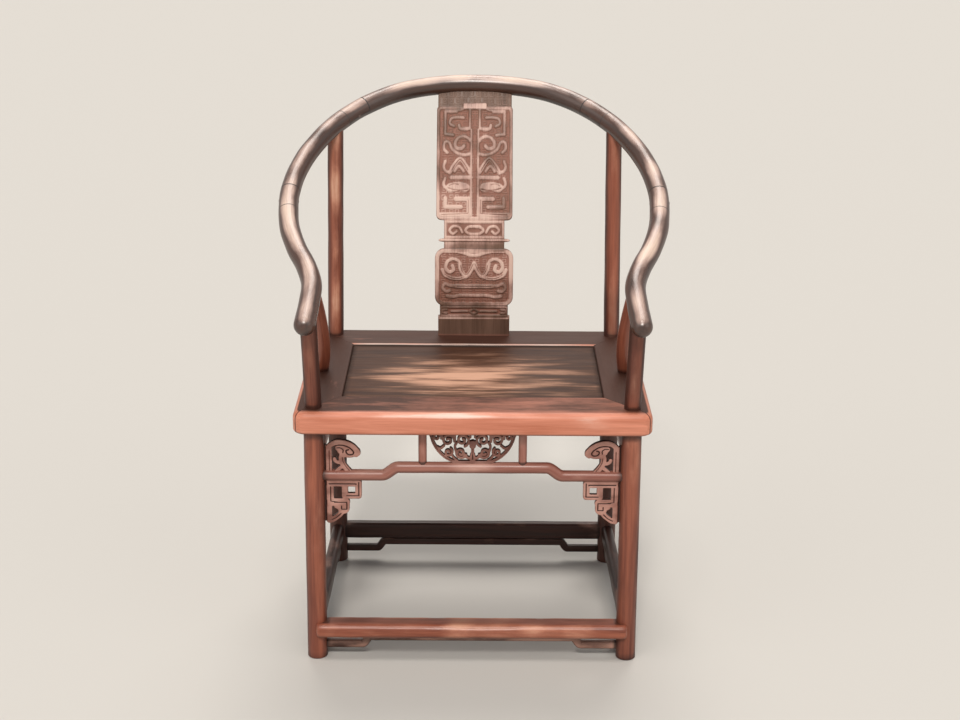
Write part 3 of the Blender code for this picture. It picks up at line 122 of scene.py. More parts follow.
def makeWood(look):
    material = bpy.data.materials.new(look["wood"])
    tree, mix = emptyTree(material), woodMix
    rubAndHighlightFrom, bareFrom, shadeAndSootMost = look["wear"]
    smoothest, roughest, specular = look["gloss"]
    grain = addNode(tree, "Attribute", attribute_name="grain")["Vector"]
    # The two shares read here: rubbed wear with painted highlight, and soot with painted shade
    rubAndHighlight, sootAndShade = (addNode(tree, "Attribute", attribute_name=name)["Fac"] for name in ("rubAndHighlight", "sootAndShade"))
    noises = []
    for longMm, wideMm, start, detail, rough, warp in grainNoises.values():
        longMm, wideMm = (longMm, wideMm) if longMm else look["smudgeMm"]
        wide = 1 / (wideMm * mm)
        space = addNode(tree, "Mapping", {"Vector": grain, "Location": start,
                                          "Scale": (1 / (longMm * mm), wide, wide)})[0]
        noises.append(addNode(tree, "TexNoise", {"Vector": space, "Scale": 1.0, "Detail": detail,
                                                 "Roughness": rough, "Distortion": warp})["Fac"])
    lines, figure, speck, smudge = noises
    # The wood's figure with its lines, the rubbed places and painted highlights broken up by
    # smudges, the same in streaks along the grain, the pores, and the dust of corners with the
    # painted shade
    weighed = {"operation": "MULTIPLY_ADD"}
    figured = addNode(tree, "Math", {0: lines, 1: mix["lines"], 2: figure}, **weighed)[0]
    patch = addNode(tree, "Math", {0: smudge, 1: mix["smudge"], 2: rubAndHighlight}, **weighed)[0]
    streak = addNode(tree, "Math", {0: lines, 1: mix["streak"], 2: patch}, **weighed)[0]
    pores = addNode(tree, "Math", {0: lines, 1: mix["poreLines"], 2: speck}, **weighed)[0]
    shadeAndDust = addNode(tree, "Math", {0: sootAndShade, 1: smudge}, operation="MULTIPLY")[0]
    # The coats over the deep lacquer: body, rubbed with painted highlight, bare, and dust with
    # painted shade
    covers = ((figured, mix["lacquerFrom"], mix["lacquerTo"], 1.0, "LINEAR"),
              (patch, rubAndHighlightFrom, rubAndHighlightFrom + mix["rubAndHighlightReach"], 1.0, "SMOOTHSTEP"),
              (streak, bareFrom, bareFrom + mix["bareReach"], 1.0, "SMOOTHSTEP"),
              (shadeAndDust, 0.0, mix["shadeAndSootTo"], shadeAndSootMost, "LINEAR"))
    paint, *coats = (colour(code) for code in look["colours"])
    shares = []
    for coat, (value, low, high, most, ease) in zip(coats, covers):
        share = addNode(tree, "MapRange", {"Value": value, "From Min": low, "From Max": high,
                                           "To Max": most}, interpolation_type=ease)[0]
        paint = addNode(tree, "Mix", {0: share, 6: paint, 7: coat}, data_type="RGBA")[2]
        shares.append(share)
    # Gloss changes with the smudges and is lower where the lacquer is gone and where dust and
    # painted shade lie
    gloss = addNode(tree, "MapRange", {"Value": smudge, "From Min": 0.3, "From Max": 0.7,
                                       "To Min": smoothest, "To Max": roughest})[0]
    for share, weight in ((shares[2], mix["bareRough"]), (shares[3], mix["shadeAndSootRough"])):
        gloss = addNode(tree, "Math", {0: share, 1: weight, 2: gloss}, use_clamp=True, **weighed)[0]
    # Open pores, brush marks and knocks, about 0.1 mm deep
    bump = addNode(tree, "Bump", {"Height": pores, "Strength": look["bump"],
                                  "Distance": mix["poreDepth"]})[0]
    shader = addNode(tree, "BsdfPrincipled", {
        "Base Color": paint, "Roughness": gloss, "Normal": bump, "IOR": 1.5, "Metallic": 0.0,
        "Specular IOR Level": specular})[0]
    addNode(tree, "OutputMaterial", {"Surface": shader})
    return material


# One finish for each material slot of the record, all thin natural lacquer laid by hand on
# hardwood; they differ with where light, hands and feet reach. The colours are the lacquer
# from deep to body, rubbed, the bare wood and the dust of corners and joints; rubbed and bare
# also carry painted highlights and the dust colour painted shade. wear: where rubbed and bare
# begin and how much soot and painted shade covers; gloss: roughness from and to, specular.
finishLooks = {
    # Raw lacquer, near black, polished by hands: a soft wet gloss with red-brown rubs. Its pale
    # rubbed colour is also painted along the top as painted highlight
    "crest_lacquer": {
        "wood": "handPolishedDarkLacquerOnHardwood", "wear": (0.80, 1.34, 0.9),
        "colours": ("#2a130b", "#4f2c1c", "#b2958a", "#dfc5b3", "#180b06"),
        "gloss": (0.25, 0.36, 1.0), "bump": 0.16, "smudgeMm": (102, 34)},
    # Thin brushed lacquer over red-brown hardwood: satin, with long vertical grain
    "frame_lacquer": {
        "wood": "brushedThinLacquerOnRedHardwood", "wear": (0.92, 1.42, 0.85),
        "colours": ("#6e3526", "#a96249", "#cb8a70", "#e4b498", "#2c130c"),
        "gloss": (0.28, 0.42, 0.5), "bump": 0.28, "smudgeMm": (102, 34)},
    # The same lacquer along the seat's edge: orange-brown and clear, with a painted highlight on
    # the top of its front edge. Its top face is painted the dark brown of the last colour as
    # painted shade
    "seat_edge_lacquer": {
        "wood": "wornClearLacquerOnSeatEdge", "wear": (0.85, 1.30, 0.94),
        "colours": ("#c6785c", "#eb9c81", "#efb29c", "#f4dacd", "#24120a"),
        "gloss": (0.34, 0.46, 0.36), "bump": 0.22, "smudgeMm": (136, 34)},
    # Seat board, lacquer sat through to the wood: flat, streaky and warm
    "seat_board": {
        "wood": "satThroughLacquerBoard", "wear": (0.56, 0.98, 0.85),
        "colours": ("#38221a", "#523526", "#97705a", "#d9aa90", "#1c0f09"),
        "gloss": (0.40, 0.56, 0.20), "bump": 0.4, "smudgeMm": (136, 17)},
    # Sawn, unlacquered wood under the seat: dry and matt
    "bare_wood": {
        "wood": "sawnDryHardwood", "wear": (1.1, 1.7, 0.7),
        "colours": ("#6b452c", "#94694a", "#a67b5a", "#bd946f", "#3a2416"),
        "gloss": (0.62, 0.78, 0.35), "bump": 0.6, "smudgeMm": (68, 34)},
    # Thin bars that catch the light: lacquer rubbed to a pale pink-brown, painted paler on their
    # tops as painted highlight
    "stretcher_lacquer": {
        "wood": "palelyRubbedLacquerOnBars", "wear": (0.9, 1.5, 0.85),
        "colours": ("#80473a", "#ad7465", "#cf9f90", "#dcc0b1", "#331a12"),
        "gloss": (0.28, 0.42, 0.55), "bump": 0.22, "smudgeMm": (102, 34)},
    # Low bars, thick old lacquer that no foot reaches: dark and dull. The front apron is painted
    # pale with the third colour as painted light
    "lower_lacquer": {
        "wood": "thickOldLacquerOnLowBars", "wear": (0.95, 1.7, 0.85),
        "colours": ("#220f09", "#43231a", "#c99c8a", "#dab5a3", "#140905"),
        "gloss": (0.34, 0.5, 0.35), "bump": 0.3, "smudgeMm": (102, 34)},
    # Carved fretwork: rubbed pink-brown on the high parts and painted lighter where they face the
    # front as painted highlight, old lacquer in the cuts and painted shade on their side walls
    "carved_lacquer": {
        "wood": "carvedLacqueredFretwork", "wear": (0.70, 1.40, 0.93),
        "colours": ("#663c31", "#966457", "#c29183", "#dfbeb0", "#28110b"),
        "gloss": (0.30, 0.44, 0.45), "bump": 0.22, "smudgeMm": (51, 34)},
    # Back splat: carved, the ground stained red-brown, the relief rubbed almost pink and painted
    # lighter where it faces the front and up, as painted highlight
    "splat_lacquer": {
        "wood": "carvedAndRubbedSplatLacquer", "wear": (0.80, 1.28, 0.75),
        "colours": ("#5d4538", "#826454", "#bf968a", "#e8c8b9", "#a06c5c"),
        "gloss": (0.36, 0.50, 0.36), "bump": 0.25, "smudgeMm": (51, 34)},
}
finishes = {slot: makeWood(look) for slot, look in finishLooks.items()}
print("finishes made:", len(finishes))


# Smooth pseudo-random waves, the same at each run: about -1 to 1
def waves(points, sizeMm, seed):
    draw = np.random.RandomState(seed)
    total = np.zeros(len(points))
    for _ in range(7):
        direction = draw.normal(size=3)
        direction /= np.linalg.norm(direction)
        pitch = sizeMm * mm * draw.uniform(0.7, 1.6)
        total += np.sin(points @ direction * 2 * pi / pitch + draw.uniform(0, 2 * pi))
    return total / 3.2


def smooth(low, high, values):
    part = np.clip((values - low) / (high - low), 0, 1)
    return part * part * (3 - 2 * part)


def hill(values, middle, width, power=2):
    return np.exp(-((values - middle) / width) ** power)


# How far a rounded edge lies under the flat face, at a distance from the face's end
def eased(edge, distance):
    under = edge - np.sqrt(np.maximum(edge ** 2 - (edge - distance) ** 2, 0))
    return np.where(distance < edge, under, 0)


def unit(rows):
    return rows / np.linalg.norm(rows, axis=-1, keepdims=True)


# A smooth curve through points, read at places counted in spans
def curveAt(points, places):
    points, places = np.asarray(points, float), np.asarray(places, float)
    last = len(points) - 1
    span = np.clip(places.astype(int), 0, last - 1)
    part = (places - span)[:, None]
    padded = np.vstack([2 * points[0] - points[1], points, 2 * points[-1] - points[-2]])
    before, start, end, after = (padded[span + k] for k in range(4))
    return 0.5 * (2 * start + (end - before) * part
                  + (2 * before - 5 * start + 4 * end - after) * part ** 2
                  + (3 * start - before - 3 * end + after) * part ** 3)


# Makes one piece. Its rule gets places, normals and grain, and gives two shares, 0 to 1: the
# rubbed wear with painted highlight, and the soot with painted shade. Lengths in it are metres,
# and its other numbers weigh one cause against another
def makePiece(name, node, shape, slot, wearAndPaintedLight, seed, sharp=38):
    points, faces, grain = shape
    mesh = bpy.data.meshes.new(name)
    mesh.from_pydata(points.tolist(), [], faces)
    stored = mesh.attributes.new("grain", "FLOAT_VECTOR", "POINT")
    # Each piece is cut from another board, so its grain starts elsewhere
    offset = np.random.RandomState(seed).uniform(0, 4, 3)
    stored.data.foreach_set("vector", (grain + offset).astype(np.float32).ravel())
    bm = bmesh.new()
    bm.from_mesh(mesh)
    bmesh.ops.remove_doubles(bm, verts=bm.verts, dist=weldReach)
    bmesh.ops.dissolve_degenerate(bm, dist=1e-7, edges=bm.edges)
    bmesh.ops.recalc_face_normals(bm, faces=bm.faces)
    bm.to_mesh(mesh)
    bm.free()
    mesh.shade_smooth()
    mesh.set_sharp_from_angle(angle=radians(sharp))

    def read(source, field):
        values = np.zeros(len(mesh.vertices) * 3, np.float32)
        source.foreach_get(field, values)
        return values.reshape(-1, 3)
    worn = wearAndPaintedLight(read(mesh.vertices, "co"), read(mesh.vertex_normals, "vector"),
                    read(mesh.attributes["grain"].data, "vector") - offset)
    for label, values in zip(("rubAndHighlight", "sootAndShade"), worn):
        layer = mesh.attributes.new(label, "FLOAT", "POINT")
        layer.data.foreach_set("value", np.clip(values, 0, 1).astype(np.float32))
    mesh.transform(Matrix.Translation((0, shiftY, 0)))
    mesh.materials.append(finishes[slot])
    piece = addObject(name, mesh)
    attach(piece, "root")
    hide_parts(node)


weldReach = 2e-6


def ovalSection(count, halfSide, halfUp, squareness=2.0):
    angles = np.arange(count) * 2 * pi / count
    side, up = np.cos(angles), np.sin(angles)
    power = 2 / squareness
    return np.stack([halfSide * np.sign(side) * np.abs(side) ** power,
                     halfUp * np.sign(up) * np.abs(up) ** power], axis=1)


def quadRows(*corners):
    return np.stack(corners, axis=-1).reshape(-1, 4)


# Faces of a closed tube: rings of count points, and a cap at each end
def tubeFaces(rings, count):
    number = np.arange(rings * count).reshape(rings, count)
    follow = np.roll(number, -1, axis=1)
    quads = quadRows(number[:-1], follow[:-1], follow[1:], number[1:])
    return quads.tolist() + [number[0].tolist(), number[-1].tolist()]


# Joins sections set along a line into a closed body. side, up, section and radius are
# given once for the whole line or for each of its centres.
def loft(centres, side, up, section, radius=1.0):
    centres = np.asarray(centres, float)
    rings, count = len(centres), np.shape(section)[-2]
    section = section * np.broadcast_to(radius, rings)[:, None, None]
    side, up = (np.broadcast_to(axis, (rings, 3))[:, None] for axis in (side, up))
    points = centres[:, None] + side * section[..., :1] + up * section[..., 1:]
    along = np.append(0, np.cumsum(np.linalg.norm(np.diff(centres, axis=0), axis=1)))
    along = np.broadcast_to(along[:, None, None], (rings, count, 1))
    grain = np.concatenate([along, section], axis=2)
    return points.reshape(-1, 3), tubeFaces(rings, count), grain.reshape(-1, 3)


# Hand work is never quite even: moves a round piece's skin in and out a little
def handWorked(shape, centres, amountMm, sizeMm, seed):
    points, faces, grain = shape
    outward = points - np.repeat(centres, len(points) // len(centres), axis=0)
    length = np.linalg.norm(outward, axis=1, keepdims=True)
    swell = waves(points, sizeMm, seed)[:, None] * amountMm * mm
    return points + outward / np.maximum(length, 1e-6) * swell * (length > 0.002), faces, grain


# Crest rail, a horseshoe of five pieces with half laps. The plan is in shares of the half
# width and the depth. Along the rail, shares run from 0 at the back to 1 at the right grip
crestRail = {
    "halfWidth": 0.321, "backY": 0.557, "depth": 0.580, "height": 0.9155, "drop": 0.2895,
    "radius": 0.0172, "endRadius": 0.0176, "endFlare": 0.050, "uneven": 0.00022,
    "centreJoint": 0.295, "gripJoint": 0.625, "lapLength": 0.054, "seamGap": 0.0005,
    "ringSpacing": 0.006, "endStep": 0.0012,
    "pegWidth": 0.006, "pegTaper": 0.001, "pegProud": 0.0002, "pegStep": 0.0006, "pegRound": 0.0005,
    "plan": ((0.000, 0.000), (0.206, 0.007), (0.432, 0.039), (0.635, 0.107), (0.793, 0.195),
             (0.903, 0.294), (0.969, 0.389), (1.000, 0.484), (0.998, 0.562), (0.979, 0.637),
             (0.930, 0.716), (0.871, 0.784), (0.833, 0.852), (0.836, 0.922), (0.848, 1.000)),
}
crestPlan = np.vstack([np.multiply(crestRail["plan"][1], (-1, 1)), crestRail["plan"]])
crestPoints = np.stack([crestPlan[:, 0] * crestRail["halfWidth"],
                        crestRail["backY"] - crestPlan[:, 1] * crestRail["depth"],
                        crestRail["height"] - crestPlan[:, 1] * crestRail["drop"]], axis=1)
crestSamples = curveAt(crestPoints, 1 + np.arange(141) / 10)
crestLengths = np.append(0, np.cumsum(np.linalg.norm(np.diff(crestSamples, axis=0), axis=1)))
crestLength = crestLengths[-1]
crestUp = unit(np.array([0, -crestRail["drop"], crestRail["depth"]]))
# Angles round the rail, with close pairs at the seam's height
crestAngles = np.radians(np.sort(np.append(np.arange(36) * 10.0, [4, 176, 184, 356])))


def crestAt(shares):
    distance = np.abs(shares) * crestLength
    found = np.stack([np.interp(distance, crestLengths, column) for column in crestSamples.T],
                     axis=-1)
    found[..., 0] *= np.where(np.less(shares, 0), -1, 1)
    return found


def crestFrames(shares):
    step = 1 / len(crestSamples)
    after, before = (np.clip(np.add(shares, move), -1, 1) for move in (step, -step))
    along = unit(crestAt(after) - crestAt(before))
    return crestAt(shares), along, unit(np.cross(along, crestUp))


# stretches: (first share, last share, kept), where kept is 0 for the whole section, -1 for
# the lower half of a lap and 1 for the upper half
def crestPiece(name, node, stretches, seed, endSide=0):
    shares, keeps = [], []
    for first, last, kept in stretches:
        count = max(2, int(abs(last - first) * crestLength / crestRail["ringSpacing"]))
        run = np.linspace(first, last, count + 1)
        fine = np.sign(last - first) * crestRail["endStep"] / crestLength
        run = [run[0], run[0] + fine, *run[1:-1], run[-1] - fine, run[-1]]
        shares += run
        keeps += [kept] * len(run)
    centres, _, across = crestFrames(shares)
    flare = smooth(0, 1, 1 - (1 - np.abs(shares)) * crestLength / crestRail["endFlare"])
    radius = crestRail["radius"] + (crestRail["endRadius"] - crestRail["radius"]) * flare
    if endSide:
        tip, tipAlong, tipAcross = crestFrames([endSide])
        turns = np.radians([12, 25, 38, 50, 61, 70, 78, 84])[:, None]
        reach = endSide * crestRail["endRadius"]
        centres = np.vstack([centres, tip + tipAlong * reach * np.sin(turns)])
        across = np.vstack([across, np.repeat(tipAcross, len(turns), axis=0)])
        radius = np.append(radius, crestRail["endRadius"] * np.cos(turns))
        keeps += [0] * len(turns)
    sections = np.stack([np.cos(crestAngles), np.sin(crestAngles)], axis=1) * radius[:, None, None]
    # The skin is a little uneven before the lap is cut flat
    skin = centres[:, None] + across[:, None] * sections[..., :1] + crestUp * sections[..., 1:]
    swell = waves(skin.reshape(-1, 3), 70, 5).reshape(skin.shape[:2]) * crestRail["uneven"]
    sections = sections * (1 + swell[..., None] / crestRail["radius"])
    half = crestRail["seamGap"] / 2
    high, kept = sections[..., 1], np.array(keeps)[:, None]
    high = np.select([kept < 0, kept > 0], [np.minimum(high, -half), np.maximum(high, half)], high)
    sections = np.stack([sections[..., 0], high], axis=2)
    joints = [share * crestLength for first, last, kept in stretches for share in (first, last)
              if abs(share) < 1]

    def wearAndPaintedLight(places, normals, local):
        # Along the rail the distance counts from the middle of the back
        distance = local[:, 0] * np.sign(shares[-1] - shares[0]) + shares[0] * crestLength
        seam = np.zeros(len(places))
        for joint in joints:
            seam = np.maximum(seam, 1 - np.abs(distance - joint) / 0.0011)
        lapped = np.zeros(len(places), bool)
        for first, last, kept in stretches:
            low, high = sorted((first * crestLength, last * crestLength))
            lapped |= (kept != 0) & (distance > low - 1e-5) & (distance < high + 1e-5)
        seam[lapped & (np.abs(np.abs(local[:, 2]) - half) < 0.00006)] = 1
        facing = normals @ crestUp
        lit = smooth(0.50, 1.0, facing)
        outer = np.clip(-local[:, 1] / crestRail["radius"], -1, 1)
        # The side facing up is painted pale as painted highlight, brightest at the middle of the
        # back. Hands rest on the arms and slide along the outside of the bend, which adds a little
        handled = smooth(0.45, 0.95, np.abs(distance) / crestLength)
        rubAndHighlight = 0.05 + (0.59 + 0.08 * handled + 0.17 * hill(distance, -0.02, 0.14)) * lit
        rubAndHighlight += 0.13 * waves(places, 70, 11)
        # Spots on the bends where the lacquer has gone tan
        for spot, amount in ((-0.69, 0.24), (0.62, 0.14), (0.80, 0.26)):
            near = hill(distance / crestLength, spot, 0.04)
            rubAndHighlight += amount * near * smooth(-0.4, 0.5, lit + outer * 0.4)
        # The underside is painted dark as painted shade; the seams are dark joints
        return rubAndHighlight, seam + 0.6 * smooth(-0.2, 0.8, -facing)
    makePiece(name, node, loft(centres, across, crestUp, sections), "crest_lacquer", wearAndPaintedLight, seed)


def makeCrest():
    lap = crestRail["lapLength"] / 2 / crestLength
    gap = crestRail["seamGap"] / crestLength
    back, arm = crestRail["centreJoint"], crestRail["gripJoint"]
    crestPiece("crestCentre", "crest_rail_centre", [
        (-back - lap + gap, -back + lap, -1), (-back + lap, back - lap, 0),
        (back - lap, back + lap - gap, -1)], 3)
    for (word, side), seed in zip(hands, (13, 17)):
        low = word.lower()
        crestPiece("crestShoulder" + word, "crest_rail_shoulder_" + low, [
            (side * (back - lap + gap), side * (back + lap), 1),
            (side * (back + lap), side * (arm - lap), 0),
            (side * (arm - lap), side * (arm + lap - gap), -1)], seed)
        crestPiece("crestGrip" + word, "arm_grip_" + low, [
            (side * (arm - lap + gap), side * (arm + lap), 1),
            (side * (arm + lap), side, 0)], seed + 1, side)
        for joint, share in (("centre", back), ("grip", arm)):
            centre, along, across = crestFrames([side * share])
            reach, step = crestRail["radius"] + crestRail["pegProud"], crestRail["pegStep"]
            places = np.array([-reach, -reach + step, reach - step, reach])
            taper = crestRail["pegTaper"] * (places / reach + 1) / 2
            halves = (crestRail["pegWidth"] - taper) / 2
            halves[[0, -1]] -= crestRail["pegRound"]
            shape = loft(centre + across * places[:, None], along, crestUp,
                         ovalSection(16, 1, 1, 7), halves)

            def pegWear(places, normals, local):
                return np.full((2, len(places)), [[0.45], [0.15]])
            makePiece("scarfPeg" + joint.title() + word, "scarf_peg_" + joint + "_" + low, shape,
                      "crest_lacquer", pegWear, seed + 40 + len(joint))
    print("crest rail: 5 pieces and 4 pegs")


# Legs, each in one piece with its post
legSizes = {
    "radius": 0.0172, "seatTop": 0.465, "stepZ": 0.426, "splay": 0.003, "chamfer": 0.0015,
    "sides": 36,
    "front": {"x": 0.267, "y": 0.033, "post": 0.0140, "crestShare": 0.962},
    "rear": {"x": 0.2595, "y": 0.427, "post": 0.0144, "crestShare": 0.352},
}


def legAxis(row, side, height):
    size = legSizes[row]
    foot = np.array([side * (size["x"] + legSizes["splay"]), size["y"], 0])
    seat = np.array([side * size["x"], size["y"], legSizes["seatTop"]])
    return foot + (seat - foot) * height / legSizes["seatTop"]


def makeLeg(row, word, side, seed):
    size, radius, chamfer, stepZ = (legSizes[key] for key in (row, "radius", "chamfer", "stepZ"))
    heights = [0, 0.0006, chamfer, *np.linspace(0.006, stepZ - 0.0005, 52), stepZ]
    # Inside the seat frame the leg steps in to the post, which goes up into the rail
    centres = [legAxis(row, side, height) for height in (*heights, stepZ + 0.0002)]
    seat = legAxis(row, side, legSizes["seatTop"])
    lean = crestAt(side * size["crestShare"]) - seat
    centres += [seat + lean * part for part in (*np.linspace(0, 1, 60)[:-2], 0.985)]
    radii = np.full(len(centres), size["post"])
    radii[:len(heights)] = radius
    radii[:2] = radius - chamfer, radius - chamfer * 0.55
    points, faces, grain = loft(centres, xAxis, yAxis, ovalSection(legSizes["sides"], 1, 1), radii)
    grain[:, 0] = points[:, 2]

    def wearAndPaintedLight(places, normals, local):
        aside, front, height = np.abs(normals[:, 0]), -normals[:, 1], places[:, 2]
        post = smooth(0.46, 0.47, height)
        # Faces to the front and the upper legs are painted lighter and the lower legs darker, most
        # on the right, as painted light and shade
        rubAndHighlight = 0.07 - 0.03 * side + 0.16 * front + 0.20 * waves(places, 120, seed)
        rubAndHighlight += 0.35 * smooth(0.10, 0.36, height) + 0.06 * (1 - smooth(0.0, 0.14, height))
        shade = (0.11 + 0.07 * side) * (1 - smooth(0.12, 0.30, height))
        # A painted highlight runs down the front line of each post, and the sides of legs and posts
        # carry painted shade
        streak = 0.25 * smooth(0.74, 0.97, front)
        shade += (0.40 + 0.12 * post) * smooth(0.55, 1.0, aside)
        shade += 0.16 * post * smooth(0.34, 0.8, aside)
        # Above the seat the posts are painted darker as painted shadow, the front ones most as they
        # lie under the arms, and the painted highlight on the front ones grows toward the top.
        # Below the seat the rear legs are painted dark as painted shadow, and the right rear post
        # has a painted shadow just above the seat
        if row == "rear":
            rubAndHighlight += post * (streak - 0.21)
            shade += 0.95 * (1 - post) + 0.24 * post * (side > 0) * (1 - smooth(0.53, 0.57, height))
        else:
            rubAndHighlight += post * (streak * (0.5 + smooth(0.48, 0.60, height)) - 0.42)
            shade += (0.25 - 0.03 * side) * post
        nearFloor = 1 - smooth(0.0, 0.012, height)
        nearSeat = np.maximum(smooth(0.408, 0.424, height) * (height < 0.44),
                              (1 - smooth(0.466, 0.474, height)) * (height > 0.45))
        return rubAndHighlight, 0.5 * nearFloor + 0.7 * nearSeat + shade
    shape = handWorked((points, faces, grain), centres, 0.22, 85, seed)
    makePiece("leg" + row.title() + word, "leg_" + row + "_" + word.lower(), shape,
              "frame_lacquer", wearAndPaintedLight, seed)


def makeLegs():
    for row, firstSeed in (("front", 60), ("rear", 62)):
        for word, side in hands:
            makeLeg(row, word, side, firstSeed + (side > 0))
    print("legs: 4")


# Side posts, S-curved and slimmer to the top. The curve is in shares: up, across, back
sidePost = {
    "x": 0.268, "y": 0.21988, "crestShare": 0.765, "footRadius": 0.0120, "headRadius": 0.0088,
    "sunk": 0.001, "rings": 70,
    "curve": ((0.00, 0.00, 0.00), (0.14, -0.15, 0.20), (0.30, -0.16, 0.33), (0.46, -0.02, 0.43),
              (0.63, 0.20, 0.56), (0.79, 0.47, 0.72), (0.93, 0.82, 0.90), (1.00, 1.00, 1.00)),
}


def makeSidePosts():
    for word, side in hands:
        base = np.array([side * sidePost["x"], sidePost["y"], legSizes["seatTop"]])
        lean = crestAt(side * sidePost["crestShare"]) - base
        line = base + lean * np.array(sidePost["curve"])[:, [1, 2, 0]]
        shares = np.linspace(0, 1, sidePost["rings"] + 1)
        centres = curveAt(line, shares * (len(line) - 1))
        centres[0, 2] -= sidePost["sunk"]
        radii = sidePost["footRadius"] + (sidePost["headRadius"] - sidePost["footRadius"]) * shares
        seed = 71 + (side > 0)

        def wearAndPaintedLight(places, normals, local):
            # Faces to the front are painted lighter as painted highlight; the ends darken where
            # they meet the seat and the rail
            rubAndHighlight = 0.26 - 0.16 * normals[:, 1] + 0.2 * waves(places, 80, seed)
            foot = 1 - smooth(0.466, 0.476, places[:, 2])
            head = smooth(0.93, 1.0, local[:, 0] / local[:, 0].max())
            return rubAndHighlight, 0.7 * foot + 0.6 * head
        shape = loft(centres, xAxis, yAxis, ovalSection(28, 1, 1), radii)
        makePiece("sidePost" + word, "side_post_" + word.lower(),
                  handWorked(shape, centres, 0.18, 60, seed), "frame_lacquer", wearAndPaintedLight, seed)
    print("side posts: 2")


# Each side of the seat and the two legs at its ends
seatSides = {
    "front": (("front", -1), ("front", 1)), "rear": (("rear", -1), ("rear", 1)),
    "left": (("front", -1), ("rear", -1)), "right": (("front", 1), ("rear", 1)),
}
# Seat frame: a moulded ring in four mitred rails
seatFrame = {
    "width": 0.600, "depth": 0.460, "top": 0.465, "under": 0.425, "openHalf": 0.223,
    "openFront": 0.085, "openBack": 0.365, "corner": 0.018, "upperRound": 0.012,
    "lowerRound": 0.008, "innerRound": 0.0026, "wallDepth": 0.012, "mitreGap": 0.0004,
    "mitreRim": 0.0014, "turns": 12, "runs": (54, 44, 54, 44), "dip": 0.0009, "uneven": 0.00015,
}


def frameRing():
    halfX, halfY, turns = seatFrame["width"] / 2, seatFrame["depth"] / 2, seatFrame["turns"]
    signs = np.array([(1, 1), (-1, 1), (-1, -1), (1, -1)])

    # A closed outline: the points of each corner, then a straight run to the next one
    def outline(corners):
        loop = []
        for points, follow, run in zip(corners, corners[1:] + corners[:1], seatFrame["runs"]):
            start, end = points[-1], follow[0]
            loop += [*points, *(start + (end - start) * step / run for step in range(1, run))]
        return np.array(loop)

    # The outer edge pulled in by inset
    def outerLoop(inset):
        radius = seatFrame["corner"] * (1 - inset / halfX)
        corners = []
        for corner, sign in enumerate(signs):
            centre = np.array([0, halfY]) + sign * (np.array([halfX, halfY]) - inset - radius)
            angles = pi / 2 * (corner + np.arange(turns + 1) / turns)
            corners.append(centre + radius * np.stack([np.cos(angles), np.sin(angles)], axis=1))
        return outline(corners)

    # The edge of the opening grown by grow, with as many points
    def innerLoop(grow):
        openings = [(sx * seatFrame["openHalf"], seatFrame["openBack" if sy > 0 else "openFront"])
                    for sx, sy in signs]
        return outline([[point + sign * grow] * (turns + 1)
                        for point, sign in zip(openings, signs)])

    # One less sine and one less cosine of each angle
    def turned(*degrees):
        return [(1 - sin(radians(angle)), 1 - cos(radians(angle))) for angle in degrees]
    low, high, edge = seatFrame["lowerRound"], seatFrame["upperRound"], seatFrame["innerRound"]
    under, top = seatFrame["under"], seatFrame["top"]
    rows = [(innerLoop(0) * (1 - part) + outerLoop(low) * part, under)
            for part in (0.0, 0.25, 0.5, 0.75)]
    rows += [(outerLoop(low * s), under + low * c) for s, c in turned(0, 15, 30, 45, 60, 75, 90)]
    rows += [(outerLoop(0), under + low + (top - under - low - high) * part)
             for part in (0.35, 0.7)]
    rows += [(outerLoop(high * c), top - high * s)
             for s, c in turned(0, 12, 24, 36, 48, 60, 72, 82, 90)]
    rows += [(outerLoop(high) * (1 - part) + innerLoop(edge) * part, top)
             for part in (0.04, 0.1, 0.2, 0.3, 0.4, 0.5, 0.6, 0.7, 0.8, 0.9, 0.97)]
    rows += [(innerLoop(edge * s), top - edge * c) for s, c in turned(0, 22, 45, 68, 90)]
    rows.append((innerLoop(0), top - seatFrame["wallDepth"]))
    points = np.array([[(x, y, z) for x, y in loop] for loop, z in rows])
    number = np.arange(points.shape[0] * points.shape[1]).reshape(points.shape[:2])
    down, on = np.roll(number, -1, axis=0), np.roll(number, -1, axis=1)
    return points.reshape(-1, 3), quadRows(number, on, np.roll(down, -1, axis=1), down).tolist()


